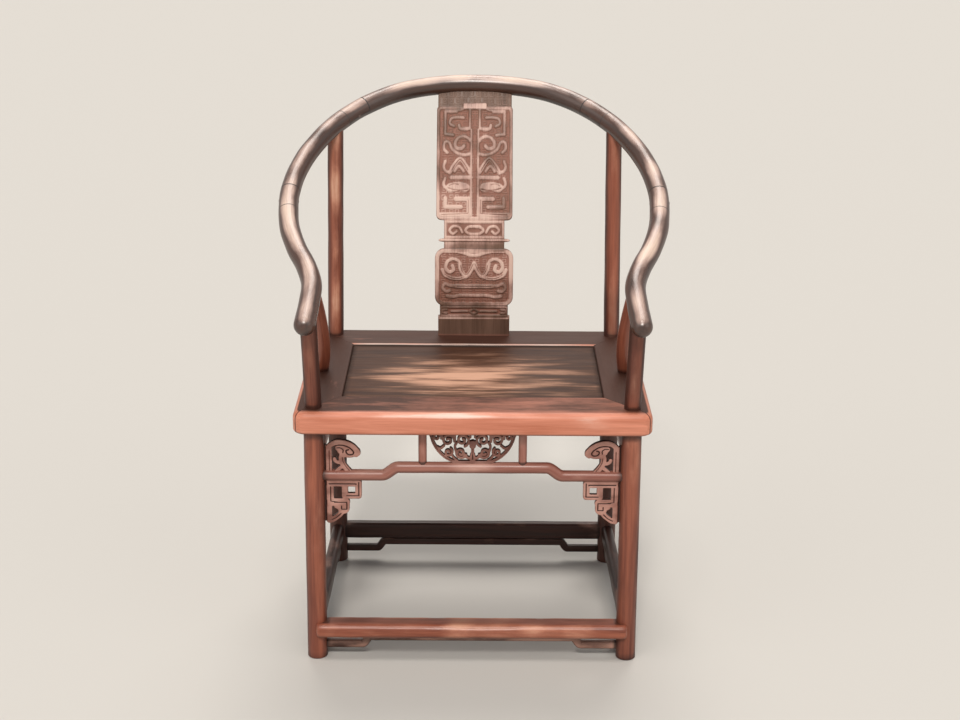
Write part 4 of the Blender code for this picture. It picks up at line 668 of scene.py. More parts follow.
def makeSeatFrame():
    ringPoints, ringFaces = frameRing()
    # Slightly uneven skin: planed by hand, and dipped where people sit over the edge
    x, y, z = ringPoints.T
    dip = hill(x, 0, 0.17) * (1 - smooth(0.0, 0.05, y)) * smooth(0.455, 0.465, z)
    z -= seatFrame["dip"] * dip + seatFrame["uneven"] * waves(ringPoints, 90, 21) * (z > 0.44)
    openHalf, openFront = seatFrame["openHalf"], seatFrame["openFront"]
    openBack = seatFrame["openBack"]
    for word, ends in seatSides.items():
        bm = bmesh.new()
        verts = [bm.verts.new(point) for point in ringPoints]
        for face in ringFaces:
            bm.faces.new([verts[k] for k in dict.fromkeys(face)])
        bmesh.ops.remove_doubles(bm, verts=bm.verts, dist=weldReach)
        mitres = [(Vector((side * seatFrame["width"] / 2, seatFrame["depth"] * (row == "rear"), 0)),
                   Vector((side * openHalf, openBack if row == "rear" else openFront, 0)))
                  for row, side in ends]
        middle = sum((outside + inside for outside, inside in mitres), Vector()) / 4
        planes = []
        for outside, inside in mitres:
            run = (inside - outside).normalized()
            away = Vector((run.y, -run.x, 0))
            away *= -1 if away.dot(middle - outside) > 0 else 1
            planes.append((np.array(outside), np.array(away)))
            cuts = ((seatFrame["mitreGap"] / 2, True), (seatFrame["mitreRim"], False))
            for inward, clear in cuts:
                bmesh.ops.bisect_plane(
                    bm, geom=bm.verts[:] + bm.edges[:] + bm.faces[:],
                    plane_co=outside - away * inward, plane_no=away, clear_outer=clear)
                if clear:
                    rim = [edge for edge in bm.edges if len(edge.link_faces) == 1]
                    bmesh.ops.contextual_create(bm, geom=rim)
        bm.verts.index_update()
        points = np.array([vert.co[:] for vert in bm.verts])
        faces = [[vert.index for vert in face.verts] for face in bm.faces]
        bm.free()
        # The grain runs along each rail
        grain = points[:, [1, 0, 2]] if word in ("left", "right") else points

        def wearAndPaintedLight(places, normals, local):
            x, y, z = places.T
            up = normals[:, 2]
            seam = np.maximum.reduce([1 - np.abs((start - places) @ away) / 0.0013
                                      for start, away in planes])
            top = smooth(0.45, 0.9, up)
            outerEdge = smooth(0.25, 0.6, up) * (1 - smooth(0.97, 0.999, up))
            frontness = 1 - smooth(0.0, 0.03, y)
            # The rounded top of the front edge carries a painted highlight, brightest just left of
            # the middle, and the front face is painted lighter; the tops behind it are painted
            # darker as painted shade
            rubAndHighlight = 0.20 + outerEdge * frontness * (0.02 + 0.60 * hill(x, -0.03, 0.13))
            rubAndHighlight += 0.10 * waves(places, 110, 31) + 0.14 * frontness * (1 - top)
            rubAndHighlight -= 0.22 * top * (1 - frontness)
            fromOpening = np.maximum.reduce([np.abs(x) - openHalf, openFront - y, y - openBack])
            inner = (fromOpening < 0.0004) & (z < seatFrame["top"] - seatFrame["innerRound"] * 0.6)
            reach = 0.0050 if word == "rear" else 0.0024
            innerEdge = 1 - smooth(reach, reach + 0.0016, fromOpening)
            # Tops and the edges of the opening are painted brown as painted shade, except the rear
            # rail's inner edge, which carries a painted highlight line
            paintedShadeBrown = smooth(0.88, 0.995, up) * smooth(0.004, 0.018, y)
            paintedShadeBrown = paintedShadeBrown * (1 - innerEdge) + innerEdge * (0.20 if word == "rear" else 0.95)
            if word == "front":
                paintedShadeBrown *= 0.62 - 0.10 * hill(x, 0, 0.22) - 0.25 * x
            if word == "rear":
                rubAndHighlight += 0.84 * innerEdge * hill(x, 0, 0.25, 8)
            # The faces other than the front and the tops are painted darker as painted shade
            aside = 0.2 * (1 - frontness) * (1 - top)
            # Mitre joints are dark; undersides and the walls of the opening carry painted shade
            sootAndShade = np.clip(seam, 0, 1) + 0.5 * smooth(0.3, 0.9, -up) + 0.9 * inner
            return rubAndHighlight, sootAndShade + 0.95 * paintedShadeBrown + aside
        makePiece("seatRail" + word.title(), "seat_rail_" + word, (points, faces, grain),
                  "seat_edge_lacquer", wearAndPaintedLight, 80 + len(word) + (word == "rear"))
    print("seat frame: 4 rails")


# Seat board and the two battens under it
seatBoard = {"top": 0.462, "under": 0.450, "gap": 0.0006, "cell": 0.005, "hollow": 0.0012,
             "ripple": 0.00018, "edgeSteps": (0.0, 0.0009, 0.0022), "edgeDrop": 0.0009}
batten = {"offset": 0.095, "width": 0.026, "height": 0.020, "gap": 0.0003, "rings": 24,
          "sawn": 0.0001}


def makeSeatBoard():
    gap, cell, steps = seatBoard["gap"], seatBoard["cell"], np.array(seatBoard["edgeSteps"])
    half = seatFrame["openHalf"] - gap
    front, back = seatFrame["openFront"] + gap, seatFrame["openBack"] - gap

    # Close rows at the eased edges and one row in each cell between them
    def spaced(low, high):
        inner = np.linspace(low + cell, high - cell, int((high - low) / cell))
        return np.concatenate([low + steps, inner, high - steps[::-1]])

    def edgeDistance(x, y):
        return np.minimum.reduce([x + half, half - x, y - front, back - y])
    gridX, gridY = np.meshgrid(spaced(-half, half), spaced(front, back), indexing="ij")
    fromEdge = edgeDistance(gridX, gridY)
    rounded = seatBoard["edgeDrop"] * np.maximum(1 - fromEdge / steps[-1], 0) ** 2
    sat = np.exp(-((gridX / 0.15) ** 2 + ((gridY - 0.21) / 0.09) ** 2))
    flat = np.stack([gridX.ravel(), gridY.ravel(), np.zeros(gridX.size)], axis=1)
    ripples = (seatBoard["ripple"] * waves(flat * (0.25, 1, 1), 26, 41)).reshape(gridX.shape)
    flat[:, 2] = (seatBoard["top"] - seatBoard["hollow"] * sat - rounded
                  + ripples * smooth(0, 0.01, fromEdge)).ravel()
    points = np.concatenate([flat, flat * (1, 1, 0) + (0, 0, seatBoard["under"])])
    number = np.arange(gridX.size).reshape(gridX.shape)
    quads = quadRows(number[:-1, :-1], number[1:, :-1], number[1:, 1:], number[:-1, 1:])
    rim = np.concatenate([number[:, 0], number[-1, 1:], number[-2::-1, -1], number[0, -2:0:-1]])
    follow = np.roll(rim, -1)
    walls = quadRows(rim, rim + gridX.size, follow + gridX.size, follow)
    faces = np.concatenate([quads, quads[:, ::-1] + gridX.size, walls]).tolist()

    def wearAndPaintedLight(places, normals, local):
        x, y, z = places.T
        top = z > seatBoard["top"] - 0.006
        # The middle and a band to its left are lighter, partly worn and partly a painted pool of
        # light; the edges along the frame carry painted shade
        seat = hill(x, -0.004, 0.155) * hill(y, 0.20, 0.10)
        band = hill(x, -0.13, 0.05) * hill(y, 0.215, 0.035)
        streaky = waves(places * (0.22, 1, 1), 34, 43) + 0.6 * waves(places * (0.16, 1, 1), 13, 44)
        rubAndHighlight = 0.06 + 0.43 * seat + 0.17 * band + 0.10 * streaky * (0.3 + seat)
        corner = 1 - smooth(0.0, 0.010, edgeDistance(x, y))
        return np.where(top, rubAndHighlight, 0.1), np.where(top, 0.5 * corner, 0.3)
    makePiece("seatBoard", "seat_panel", (points, faces, points), "seat_board", wearAndPaintedLight, 45)

    high, count, gap = seatBoard["under"], batten["rings"], batten["gap"]
    ends = np.linspace(seatFrame["openFront"] + gap, seatFrame["openBack"] - gap, count)
    for word, side in hands:
        centres = np.stack([np.full(count, side * batten["offset"]), ends,
                            np.full(count, high - batten["height"] / 2)], axis=1)
        points, faces, grain = loft(centres, xAxis, zAxis,
                                    ovalSection(32, batten["width"] / 2, batten["height"] / 2, 9))
        points[:, 2] += batten["sawn"] * waves(points, 14, 47) * (points[:, 2] < high - 0.004)

        def battenWear(places, normals, local):
            return 0.3 + 0.2 * waves(places, 60, 48), 0.3 * smooth(high - 0.006, high, places[:, 2])
        makePiece("seatBatten" + word, "seat_batten_" + word.lower(), (points, faces, grain),
                  "bare_wood", battenWear, 49 + (side > 0))
    print("seat board and 2 battens")


# Bars between the legs. rise, ramp and raisedShare are for those with a raised middle
humpBar = {"height": 0.342, "radius": 0.0098, "rise": 0.0145, "ramp": 0.027, "raisedShare": 0.47,
           "strutRadius": 0.0070, "strutOffset": 0.0845, "sideStrutOffset": 0.055, "strutRings": 22,
           "strutBelly": 0.03, "strutIntoSeat": 0.004}
lowBar = {"top": 0.080, "height": 0.034, "thickness": 0.022, "squareness": 3.0, "rings": 46}
apron = {"height": 0.0140, "thickness": 0.011, "rise": 0.0140, "ramp": 0.014, "raisedShare": 0.655,
         "squareness": 4.5, "gap": 0.0003}
footrest = {"top": 0.070, "height": 0.0255, "lip": 0.011, "round": 0.0092, "backShare": 0.40,
            "backEdge": 0.001, "endRound": 0.006, "rings": 100, "lapDepth": 0.02, "worn": 0.0016,
            "wornBack": 0.0008, "uneven": 0.00016}


def spanOf(word, height):
    start, end = (legAxis(*leg, height) for leg in seatSides[word])
    along = unit(end - start)
    return {"middle": (start + end) / 2, "half": np.linalg.norm(end - start) / 2, "along": along,
            "side": unit(np.cross(zAxis, along))}


# The line of a bar that steps up to its middle stretch by two soft ramps
def humpLine(span, reach, size):
    ramp, raised = size["ramp"], span["half"] * size["raisedShare"]
    places = [-reach, *np.linspace(-reach, -(raised + ramp), max(3, int(reach / 0.012)))[1:]]
    places += [-(raised + ramp * (1 - part)) for part in np.linspace(0, 1, 13)[1:]]
    places += [*np.linspace(-raised, 0, max(3, int(raised / 0.012)))[1:]]
    places = np.array(places + [-place for place in places[-2::-1]])
    lift = size["rise"] * smooth(0, 1, (raised + ramp - np.abs(places)) / ramp)
    slope = np.arctan2(np.gradient(lift), np.gradient(places))[:, None]
    slope[[0, -1]] = 0
    centres = span["middle"] + span["along"] * places[:, None]
    centres[:, 2] = span["middle"][2] + lift
    return centres, zAxis * np.cos(slope) - span["along"] * np.sin(slope)


# A bar from leg to leg: straight, or raised in the middle where hump gives the sizes
def makeBar(name, node, slot, span, section, lift, seed, hump=None, handMm=None):
    reach = span["half"] - legSizes["radius"] * 0.6
    if hump:
        centres, ups = humpLine(span, reach, hump)
    else:
        places = np.linspace(-reach, reach, lowBar["rings"])
        centres, ups = span["middle"] + span["along"] * places[:, None], zAxis
    shape = loft(centres, span["side"], ups, section)
    if handMm:
        shape = handWorked(shape, centres, *handMm, seed - 2)

    def wearAndPaintedLight(places, normals, local):
        # Tops and fronts are painted lighter and undersides darker, as painted light and shade,
        # lift lightens or darkens a whole bar, and the ends darken at the legs
        rubAndHighlight = 0.28 + lift + 0.14 * normals[:, 2] - 0.08 * normals[:, 1]
        rubAndHighlight += 0.2 * waves(places, 90, seed - 1)
        fromMiddle = np.abs((places - span["middle"]) @ span["along"])
        fromLeg = span["half"] - fromMiddle - legSizes["radius"]
        return rubAndHighlight, 0.45 * np.clip(-normals[:, 2], 0, 1) + 0.7 * (1 - smooth(0.0, 0.006, fromLeg))
    makePiece(name, node, shape, slot, wearAndPaintedLight, seed)


def makeHumpBars():
    radius, count = humpBar["radius"], humpBar["strutRings"]
    low = humpBar["height"] + humpBar["rise"] + radius * 0.4
    top = seatFrame["under"] + humpBar["strutIntoSeat"]
    for index, word in enumerate(seatSides):
        span, isFront = spanOf(word, humpBar["height"]), word == "front"
        # The front bar is painted lighter and the others darker, as painted light and shade
        makeBar("humpBar" + word.title(), "hump_stretcher_" + word, "stretcher_lacquer", span,
                ovalSection(24, radius, radius), 0.06 if isFront else -0.2, 92 + index,
                humpBar, (0.14, 50))
        across = word in ("front", "rear")
        offset = humpBar["strutOffset"] if across else humpBar["sideStrutOffset"]
        for name, sign in zip(("left", "right") if across else ("front", "rear"), (-1, 1)):
            line = np.repeat([span["middle"] + span["along"] * sign * offset], count, axis=0)
            line[:, 2] = np.linspace(low, top, count)
            # A slight belly, as turned by hand
            belly = 1 + humpBar["strutBelly"] * np.sin(np.linspace(0, pi, count))
            shape = loft(line, xAxis, yAxis, ovalSection(20, 1, 1), humpBar["strutRadius"] * belly)

            def strutWearAndLight(places, normals, local):
                height = places[:, 2]
                joint = np.maximum(1 - smooth(0.3655, 0.3705, height),
                                   smooth(0.418, 0.4245, height))
                # Faces to the front are painted lighter and all struts but the front ones darker,
                # as painted light and shade; the ends darken at their joints
                rubAndHighlight = 0.26 - 0.18 * normals[:, 1] + 0.15 * waves(places, 40, 95 + index)
                return rubAndHighlight - (0 if isFront else 0.34), 0.75 * joint
            makePiece("strut" + word.title() + name.title(), "strut_" + word + "_" + name, shape,
                      "stretcher_lacquer", strutWearAndLight, 96 + index)
    print("hump bars: 4, struts: 8")


def makeLowBars():
    section = ovalSection(32, lowBar["thickness"] / 2, lowBar["height"] / 2, lowBar["squareness"])
    for index, word in enumerate(("rear", "left", "right")):
        makeBar("lowBar" + word.title(), "lower_stretcher_" + word, "lower_lacquer",
                spanOf(word, lowBar["top"] - lowBar["height"] / 2), section, 0.05, 112 + index,
                None, (0.2, 70))
    section = ovalSection(28, apron["thickness"] / 2, apron["height"] / 2, apron["squareness"])
    for index, word in enumerate(seatSides):
        above = footrest if word == "front" else lowBar
        height = above["top"] - above["height"] - apron["gap"] - apron["rise"] - apron["height"] / 2
        # The front apron is painted lighter than the others, as painted light
        makeBar("apron" + word.title(), "lower_apron_" + word, "lower_lacquer",
                spanOf(word, height), section, 0.44 if word == "front" else 0.0, 122 + index, apron)
    print("low bars: 3, aprons: 4")


def makeFootrest():
    top, height, count = footrest["top"], footrest["height"], footrest["rings"]
    radius = legSizes["radius"]
    span = spanOf("front", top - height / 2)
    front = span["middle"][1] - radius - footrest["lip"]
    back = span["middle"][1] + radius * footrest["backShare"]
    rounded, backEdge = footrest["round"], footrest["backEdge"]
    section = [(back, top - height), (back, top - height / 2), (back, top - backEdge),
               (back - backEdge, top)]
    section += [(back + (front + rounded - back) * part, top) for part in (0.25, 0.5, 0.75)]
    for first, centreZ in ((90, top - rounded), (180, top - height + rounded)):
        for angle in np.radians(np.arange(first, first + 91, 10)):
            section.append((front + rounded * (1 + cos(angle)), centreZ + rounded * sin(angle)))
    section.append((back + (front + rounded - back) * 0.5, top - height))
    # The ends are eased where they lap over the front of the legs
    ends = span["half"] - footrest["endRound"] * (1 - np.sin(np.radians([0, 20, 40, 60, 80])))
    xs = np.sort(np.concatenate([-ends, np.linspace(-ends[0], ends[0], count - 10), ends]))[:, None]
    inward = eased(footrest["endRound"], span["half"] - np.abs(xs))
    y, z = np.array(section).T
    lapping = y < back - footrest["lapDepth"]
    lifted = z + inward * 0.6 * np.sign(top - height / 2 - z) * lapping
    points = np.stack([xs + 0 * y, y + inward * lapping, lifted], axis=2).reshape(-1, 3)
    # Feet have worn the top front edge down, most near the middle
    worn = hill(points[:, 0], 0, 0.13) * (1 - smooth(front, front + 0.02, points[:, 1]))
    worn *= smooth(top - height * 0.6, top, points[:, 2])
    points[:, 2] -= footrest["worn"] * worn * (1 + 0.4 * waves(points, 50, 131))
    points[:, 1] += footrest["wornBack"] * worn
    offBack = np.abs(points[:, 1:2] - back) > 0.001
    points += footrest["uneven"] * waves(points, 45, 132)[:, None] * offBack

    def wearAndPaintedLight(places, normals, local):
        x, y, _ = places.T
        middle, up = hill(x, 0, 0.15), normals[:, 2]
        # The top's middle is painted lighter as painted highlight and the underside darker as
        # painted shade; it darkens beside the legs and on the top behind the front edge
        rubAndHighlight = 0.49 + (0.24 * smooth(0.1, 0.9, up) + 0.12) * middle + 0.16 * waves(places, 70, 133)
        behind = smooth(0.9, 0.99, up) * smooth(front + 0.006, front + 0.018, y)
        nearLeg = 1 - smooth(0.0, 0.005, span["half"] - radius - np.abs(x))
        nearLeg *= y > span["middle"][1] - radius
        return rubAndHighlight, 0.5 * np.clip(-up, 0, 1) + 0.5 * nearLeg + 0.42 * behind
    makePiece("footrest", "footrest_rail", (points, tubeFaces(count, len(section)), points),
              "frame_lacquer", wearAndPaintedLight, 134)
    print("footrest: 1")


# Carving tools. A stroke is (half width in mm, points in mm), and a cut has its depth in
# mm between them; distances are in mm.
def spiral(x, y, radius, turns, start, spin, inner=0.22):
    parts = np.linspace(0, 1, max(10, int(18 * turns)))
    angles = radians(start) + spin * 2 * pi * turns * parts
    radii = radius * (1 - (1 - inner) * parts)
    return [(x + r * cos(a), y + r * sin(a)) for r, a in zip(radii, angles)]


def bend(*points, steps=7):
    spans = len(points) - 1
    return curveAt(points, np.linspace(0, spans, spans * steps + 1)).tolist()


def mirrored(strokes):
    both = []
    for *sizes, points in strokes:
        both.append((*sizes, points))
        if any(abs(x) > 0.01 for x, y in points):
            both.append((*sizes, [(-x, y) for x, y in points]))
    return both


# Distance to a line of points, less the stroke's half width: below zero inside it
def strokeDistance(gridX, gridY, width, points):
    nearest = np.full(gridX.shape, 1e6)
    for (ax, ay), (bx, by) in zip(points[:-1], points[1:]):
        dx, dy = bx - ax, by - ay
        length = max(dx * dx + dy * dy, 1e-9)
        part = np.clip(((gridX - ax) * dx + (gridY - ay) * dy) / length, 0, 1)
        nearest = np.minimum(nearest, (gridX - ax - part * dx) ** 2 + (gridY - ay - part * dy) ** 2)
    return np.sqrt(nearest) - width


# Depth of the carved lines at each place of a grid
def grooves(gridX, gridY, cuts, flatShare):
    depth = np.zeros(gridX.shape)
    for width, deepMm, points in cuts:
        line = strokeDistance(gridX, gridY, 0, points)
        depth = np.maximum(depth, deepMm * (1 - smooth(width * flatShare, width, line)))
    return depth


# Distance outside a shape that two fields bound, its edge rounded by round
def roundedJoin(first, second, round):
    first, second = first + round, second + round
    outside = np.hypot(np.maximum(first, 0), np.maximum(second, 0))
    return outside + np.minimum(np.maximum(first, second), 0) - round


# A part of an array: count places from start along one axis
def cutOf(array, axis, start, count):
    return array[(slice(None),) * axis + (slice(start, start + count),)]


# Turns a 3-D field, below zero inside, into a skin of quads
def skinOf(field, low, cell):
    size = np.array(field.shape) - 1
    total, hits, crossings = np.zeros((*size, 3)), np.zeros(size), []
    others = ((1, 2), (0, 2), (0, 1))
    for axis, (a, b) in enumerate(others):
        first, second = (cutOf(field, axis, step, size[axis]) for step in (0, 1))
        crossed = (first < 0) != (second < 0)
        place = np.stack(np.indices(first.shape), axis=-1).astype(float)
        place[..., axis] += np.where(crossed, first / np.where(crossed, first - second, 1), 0)
        crossings.append(np.argwhere(crossed))
        for stepA, stepB in ((0, 0), (0, 1), (1, 0), (1, 1)):
            found, spot = (cutOf(cutOf(whole, a, stepA, size[a]), b, stepB, size[b])
                           for whole in (crossed, place))
            total += spot * found[..., None]
            hits += found
    used = hits > 0
    number = np.full(size, -1)
    number[used] = np.arange(used.sum())
    faces = []
    for spots, pair in zip(crossings, others):
        pair = list(pair)
        spots = spots[np.all((spots[:, pair] > 0) & (spots[:, pair] < size[pair]), axis=1)]
        corners = []
        for moves in ((-1, -1), (0, -1), (0, 0), (-1, 0)):
            moved = spots.copy()
            moved[:, pair] += moves
            corners.append(number[tuple(moved.T)])
        faces += np.stack(corners, axis=1).tolist()
    return low + total[used] / hits[used][:, None] * cell, faces


# Openwork cut from a thin board. "wood" holds its strokes and "cuts" the thin lines carved
# on its front; origin and side set the board's millimetres in the chair.
boardEdges = {"fillet": 1.1, "rimWidth": 2.0, "rimSunk": 0.5, "flatShare": 0.35}


def makeOpenwork(name, node, size, origin, side, seed):
    (lowX, highX), (lowZ, highZ) = size["box"]
    cell, half = size["cell"], size["thicknessMm"] / 2
    fillet, rim = boardEdges["fillet"], boardEdges["rimWidth"]
    margin = 3 * cell
    xs = np.arange(lowX - margin, highX + margin, cell)
    zs = np.arange(lowZ - margin, highZ + margin, cell)
    ys = np.arange(-half - margin, half + margin + cell, cell)
    gridX, gridZ = np.meshgrid(xs, zs, indexing="ij")
    outline = np.full(gridX.shape, 1e3)
    for width, points in size["wood"]:
        stroke = strokeDistance(gridX, gridZ, width, points)
        # Strokes run into each other with a small fillet, as a gouge leaves them
        blend = np.clip(0.5 + 0.5 * (outline - stroke) / fillet, 0, 1)
        outline = outline * (1 - blend) + stroke * blend - fillet * blend * (1 - blend)
    # A narrow raised rim follows every edge and the field inside it is sunk a little
    field = boardEdges["rimSunk"] * smooth(-rim - 0.5, -rim - 1.5, outline)
    front = half - field - grooves(gridX, gridZ, size["cuts"], boardEdges["flatShare"])
    deep = np.where(ys[None, :, None] < 0, front[:, None, :], half)
    solid = roundedJoin(outline[:, None, :], np.abs(ys)[None, :, None] - deep, size["edgeRound"])
    skin, faces = skinOf(solid, np.array([xs[0], ys[0], zs[0]]), cell)

    def wearAndPaintedLight(places, normals, local):
        facing = smooth(0.2, 0.9, -normals[:, 1])
        depth = local[:, 2] / mm + half
        # Faces to the front are painted lighter on the high parts as painted highlight; the deep
        # ground on the front holds old lacquer, the side walls of the cuts carry painted shade, and
        # a whole piece can be set darker as painted shade
        rubAndHighlight = 0.16 + size["shadeRubShift"] + 0.36 * facing * (1 - smooth(0.4, 1.6, depth))
        rubAndHighlight += 0.14 * waves(places, 30, seed)
        dark = 0.8 * smooth(0.7, 1.8, depth) * facing + 0.9 * smooth(0.5, 3.0, depth) * (1 - facing)
        back = smooth(0.3, 0.9, normals[:, 1])
        return rubAndHighlight, (dark + size["dull"]) * (1 - back) + 0.25 * back
    makePiece(name, node, (origin + skin * (side, 1, 1) * mm, faces, skin[:, [0, 2, 1]] * mm),
              "carved_lacquer", wearAndPaintedLight, seed, sharp=60)


# Brackets: X from the leg's axis, Z from the stretcher's axis, in mm
bracketSizes = {"thicknessMm": 8.5, "cell": 0.75, "edgeRound": 1.6, "shadeRubShift": 0.0, "dull": 0.0}
brackets = {
    "upper": {
        "box": ((13, 81), (-2, 66)),
        "wood": [
            (4.2, [(17.5, 2), (17.5, 52)]),
            (4.4, [(26, 2), (26, 48)]),
            (4.6, bend((24, 46), (27, 54), (36, 59.6), (46, 60.4), (57, 57.8), (66, 52.2),
                       (73.4, 44))),
            (4.2, bend((73.4, 44), (74.6, 40.4), (71.2, 37.4))),
            (8, bend((44, 51), (53, 50), (61, 45))),
            (6.4, bend((46, 45), (53, 39.5), (63, 39), (69, 42))),
            (5, bend((49, 40), (46.4, 31), (48.4, 22), (54, 13), (59, 7), (62, 2))),
            (3.2, bend((48, 26), (42, 23.6), (36.4, 26.4), (34.6, 30))),
            (3.4, bend((50, 18), (42, 12), (34, 4))),
            (3, [(30, 3), (60, 3)]),
        ],
        # The third cut curls in as the eye of a cloud scroll does
        "cuts": [
            (4.6, 2.3, [(17, 3), (17, 53)]),
            (0.9, 1.1, [(25.8, 4), (25.8, 45)]),
            (1.4, 1.9, bend((33, 52.6), (41, 55), (50, 54.6), (59, 51), (66, 44.6), (66.4, 39.4),
                            (61, 37.6), (55.6, 40.2), (54.6, 45.2), (58.6, 46.8))),
            (1.1, 1.5, bend((38, 49.6), (44, 50.2), (49.4, 46.6), (49, 41.4))),
            (0.9, 1.2, bend((48.2, 33), (49.6, 24.4), (55, 15), (60, 8.6))),
        ]},
    "lower": {
        "box": ((13, 82), (-89, 0)),
        "wood": [
            (6.4, [(19, -14.2), (73.6, -14.2)]),
            (5.6, [(74.2, -14), (74.2, -33.5)]),
            (5.2, [(74.4, -37.6), (51.5, -37.6)]),
            (5.4, [(51.2, -16), (51.2, -38)]),
            (4.4, [(17.5, -12), (17.5, -80)]),
            (5.2, [(27.2, -14), (27.2, -50)]),
            (7.2, [(22, -49.4), (52.4, -49.4)]),
            (10.2, [(48.4, -53), (48.4, -60.6)]),
            (3.8, [(25.2, -52), (25.2, -78)]),
            (4.8, bend((46, -66), (42, -72), (36, -77), (30, -81.5), (24, -83.2))),
            (3.6, [(36, -57), (42, -60)]),
        ],
        "cuts": [
            (1.2, 1.6, [(24.5, -15.6), (70.4, -15.6), (70.4, -17)]),
            (1.1, 1.5, [(74.6, -13), (74.6, -37.4), (54, -37.4)]),
            (4.6, 2.3, [(17, -11), (17, -81)]),
            (1, 1.3, [(27, -21), (27, -47.6), (41, -49.6)]),
            (1.2, 1.6, [(33, -49.6), (54, -49.6), (54, -62.4), (45, -62.4), (45, -56.4)]),
            (1, 1.3, bend((44, -70), (37, -77), (28, -82))),
        ]},
}


def makeBrackets():
    for word, side in hands:
        for kind, shape in brackets.items():
            makeOpenwork("bracket" + kind.title() + word, "bracket_" + kind + "_" + word.lower(),
                         {**bracketSizes, **shape}, legAxis("front", side, humpBar["height"]),
                         -side, 140 + (side > 0))
    print("brackets: 4")


# Centre carving: X from the middle, Z from the top of the stretcher, in mm. It is painted darker
# all over as painted shade under the seat
centreCarving = {
    "thicknessMm": 9.0, "cell": 0.7, "edgeRound": 1.2, "shadeRubShift": -0.16, "dull": 0.12,
    "box": ((-77, 77), (-2, 61)),
    "wood": mirrored([
        (2.9, [(0, 57.6), (74, 57.6)]),
        (2.6, bend((74, 57), (70, 48), (66, 36), (58, 22), (46, 10), (31, 1.5))),
        (3, [(0, 0.6), (32, 0.6)]),
        (4.6, [(0, 3), (0, 13)]),
        (2.8, [(0, 12), (0, 34)]),
        (5.6, [(0, 31), (0, 35)]),
        (2.4, bend((0, 8), (8, 9), (14, 15))),
        (2.3, spiral(20, 17.5, 9.6, 1.35, 200, 1)),
        (2.3, spiral(17, 40.5, 11.5, 1.4, 250, -1)),
        (2.3, spiral(41.5, 40.5, 11, 1.4, 190, -1)),
        (2.1, spiral(41, 19, 7.8, 1.2, 120, 1)),
        (2, spiral(60, 46, 7.4, 1.2, 200, -1)),
        (2.1, bend((28, 20), (30, 29), (27, 36))),
        (2.1, bend((30, 42), (31, 50), (40, 53))),
        (2.1, bend((48, 31), (54, 26), (60, 28))),
        (2, [(4, 46), (4, 57)]),
        (1.9, bend((34, 12), (31, 8), (26, 4))),
        (1.9, bend((52, 48), (53, 53), (50, 57))),
    ]),
    "cuts": mirrored([
        (1, 1.2, [(0, 6), (0, 26)]),
        (1, 1.2, bend((73, 54), (69, 45), (65, 34), (56, 20), (45, 9.5), (34, 3))),
        (1, 1.2, [(0, 57.6), (70, 57.6)]),
    ]),
}


def makeCentreCarving():
    middle = spanOf("front", humpBar["height"])["middle"]
    low = humpBar["height"] + humpBar["rise"] + humpBar["radius"]
    origin = np.array([0, middle[1], low])
    makeOpenwork("centreCarving", "centre_carving", centreCarving, origin, 1, 151)
    print("centre carving: 1")


# Back splat: X from the middle and H up from the seat, in mm. The curve is in shares of the
# height and the lean. A band is its low and high share, width and lower and upper corner
splat = {
    "thicknessMm": 12, "baseY": 0.427, "seatZ": 0.465, "heightMm": 450.5, "lean": 0.130,
    "curve": ((0.0, 0.0), (0.11, -0.043), (0.19, -0.068), (0.30, -0.047), (0.41, 0.030),
              (0.52, 0.155), (0.63, 0.320), (0.745, 0.510), (0.856, 0.718), (0.95, 0.900),
              (1.0, 1.0)),
    "bands": ((0.0, 0.084, 133.5, 0, 0), (0.084, 0.133, 127.0, 0, 0),
              (0.133, 0.373, 145.0, 18, 18), (0.373, 0.484, 111.5, 0, 0),
              (0.484, 0.911, 141.0, 9, 4.5), (0.911, 0.985, 137.0, 0, 0)),
    "ledgeShare": 0.405, "ledgeHalf": 66.0, "neckHalf": 55.75, "ledgeHeight": 5.0,
    "ledgeProud": 2.5, "rowMm": 0.9, "rowInset": 0.3, "columns": 156, "tenonMm": 1.0,
    "sunkMm": 2.0, "edgeMm": 1.3,
}
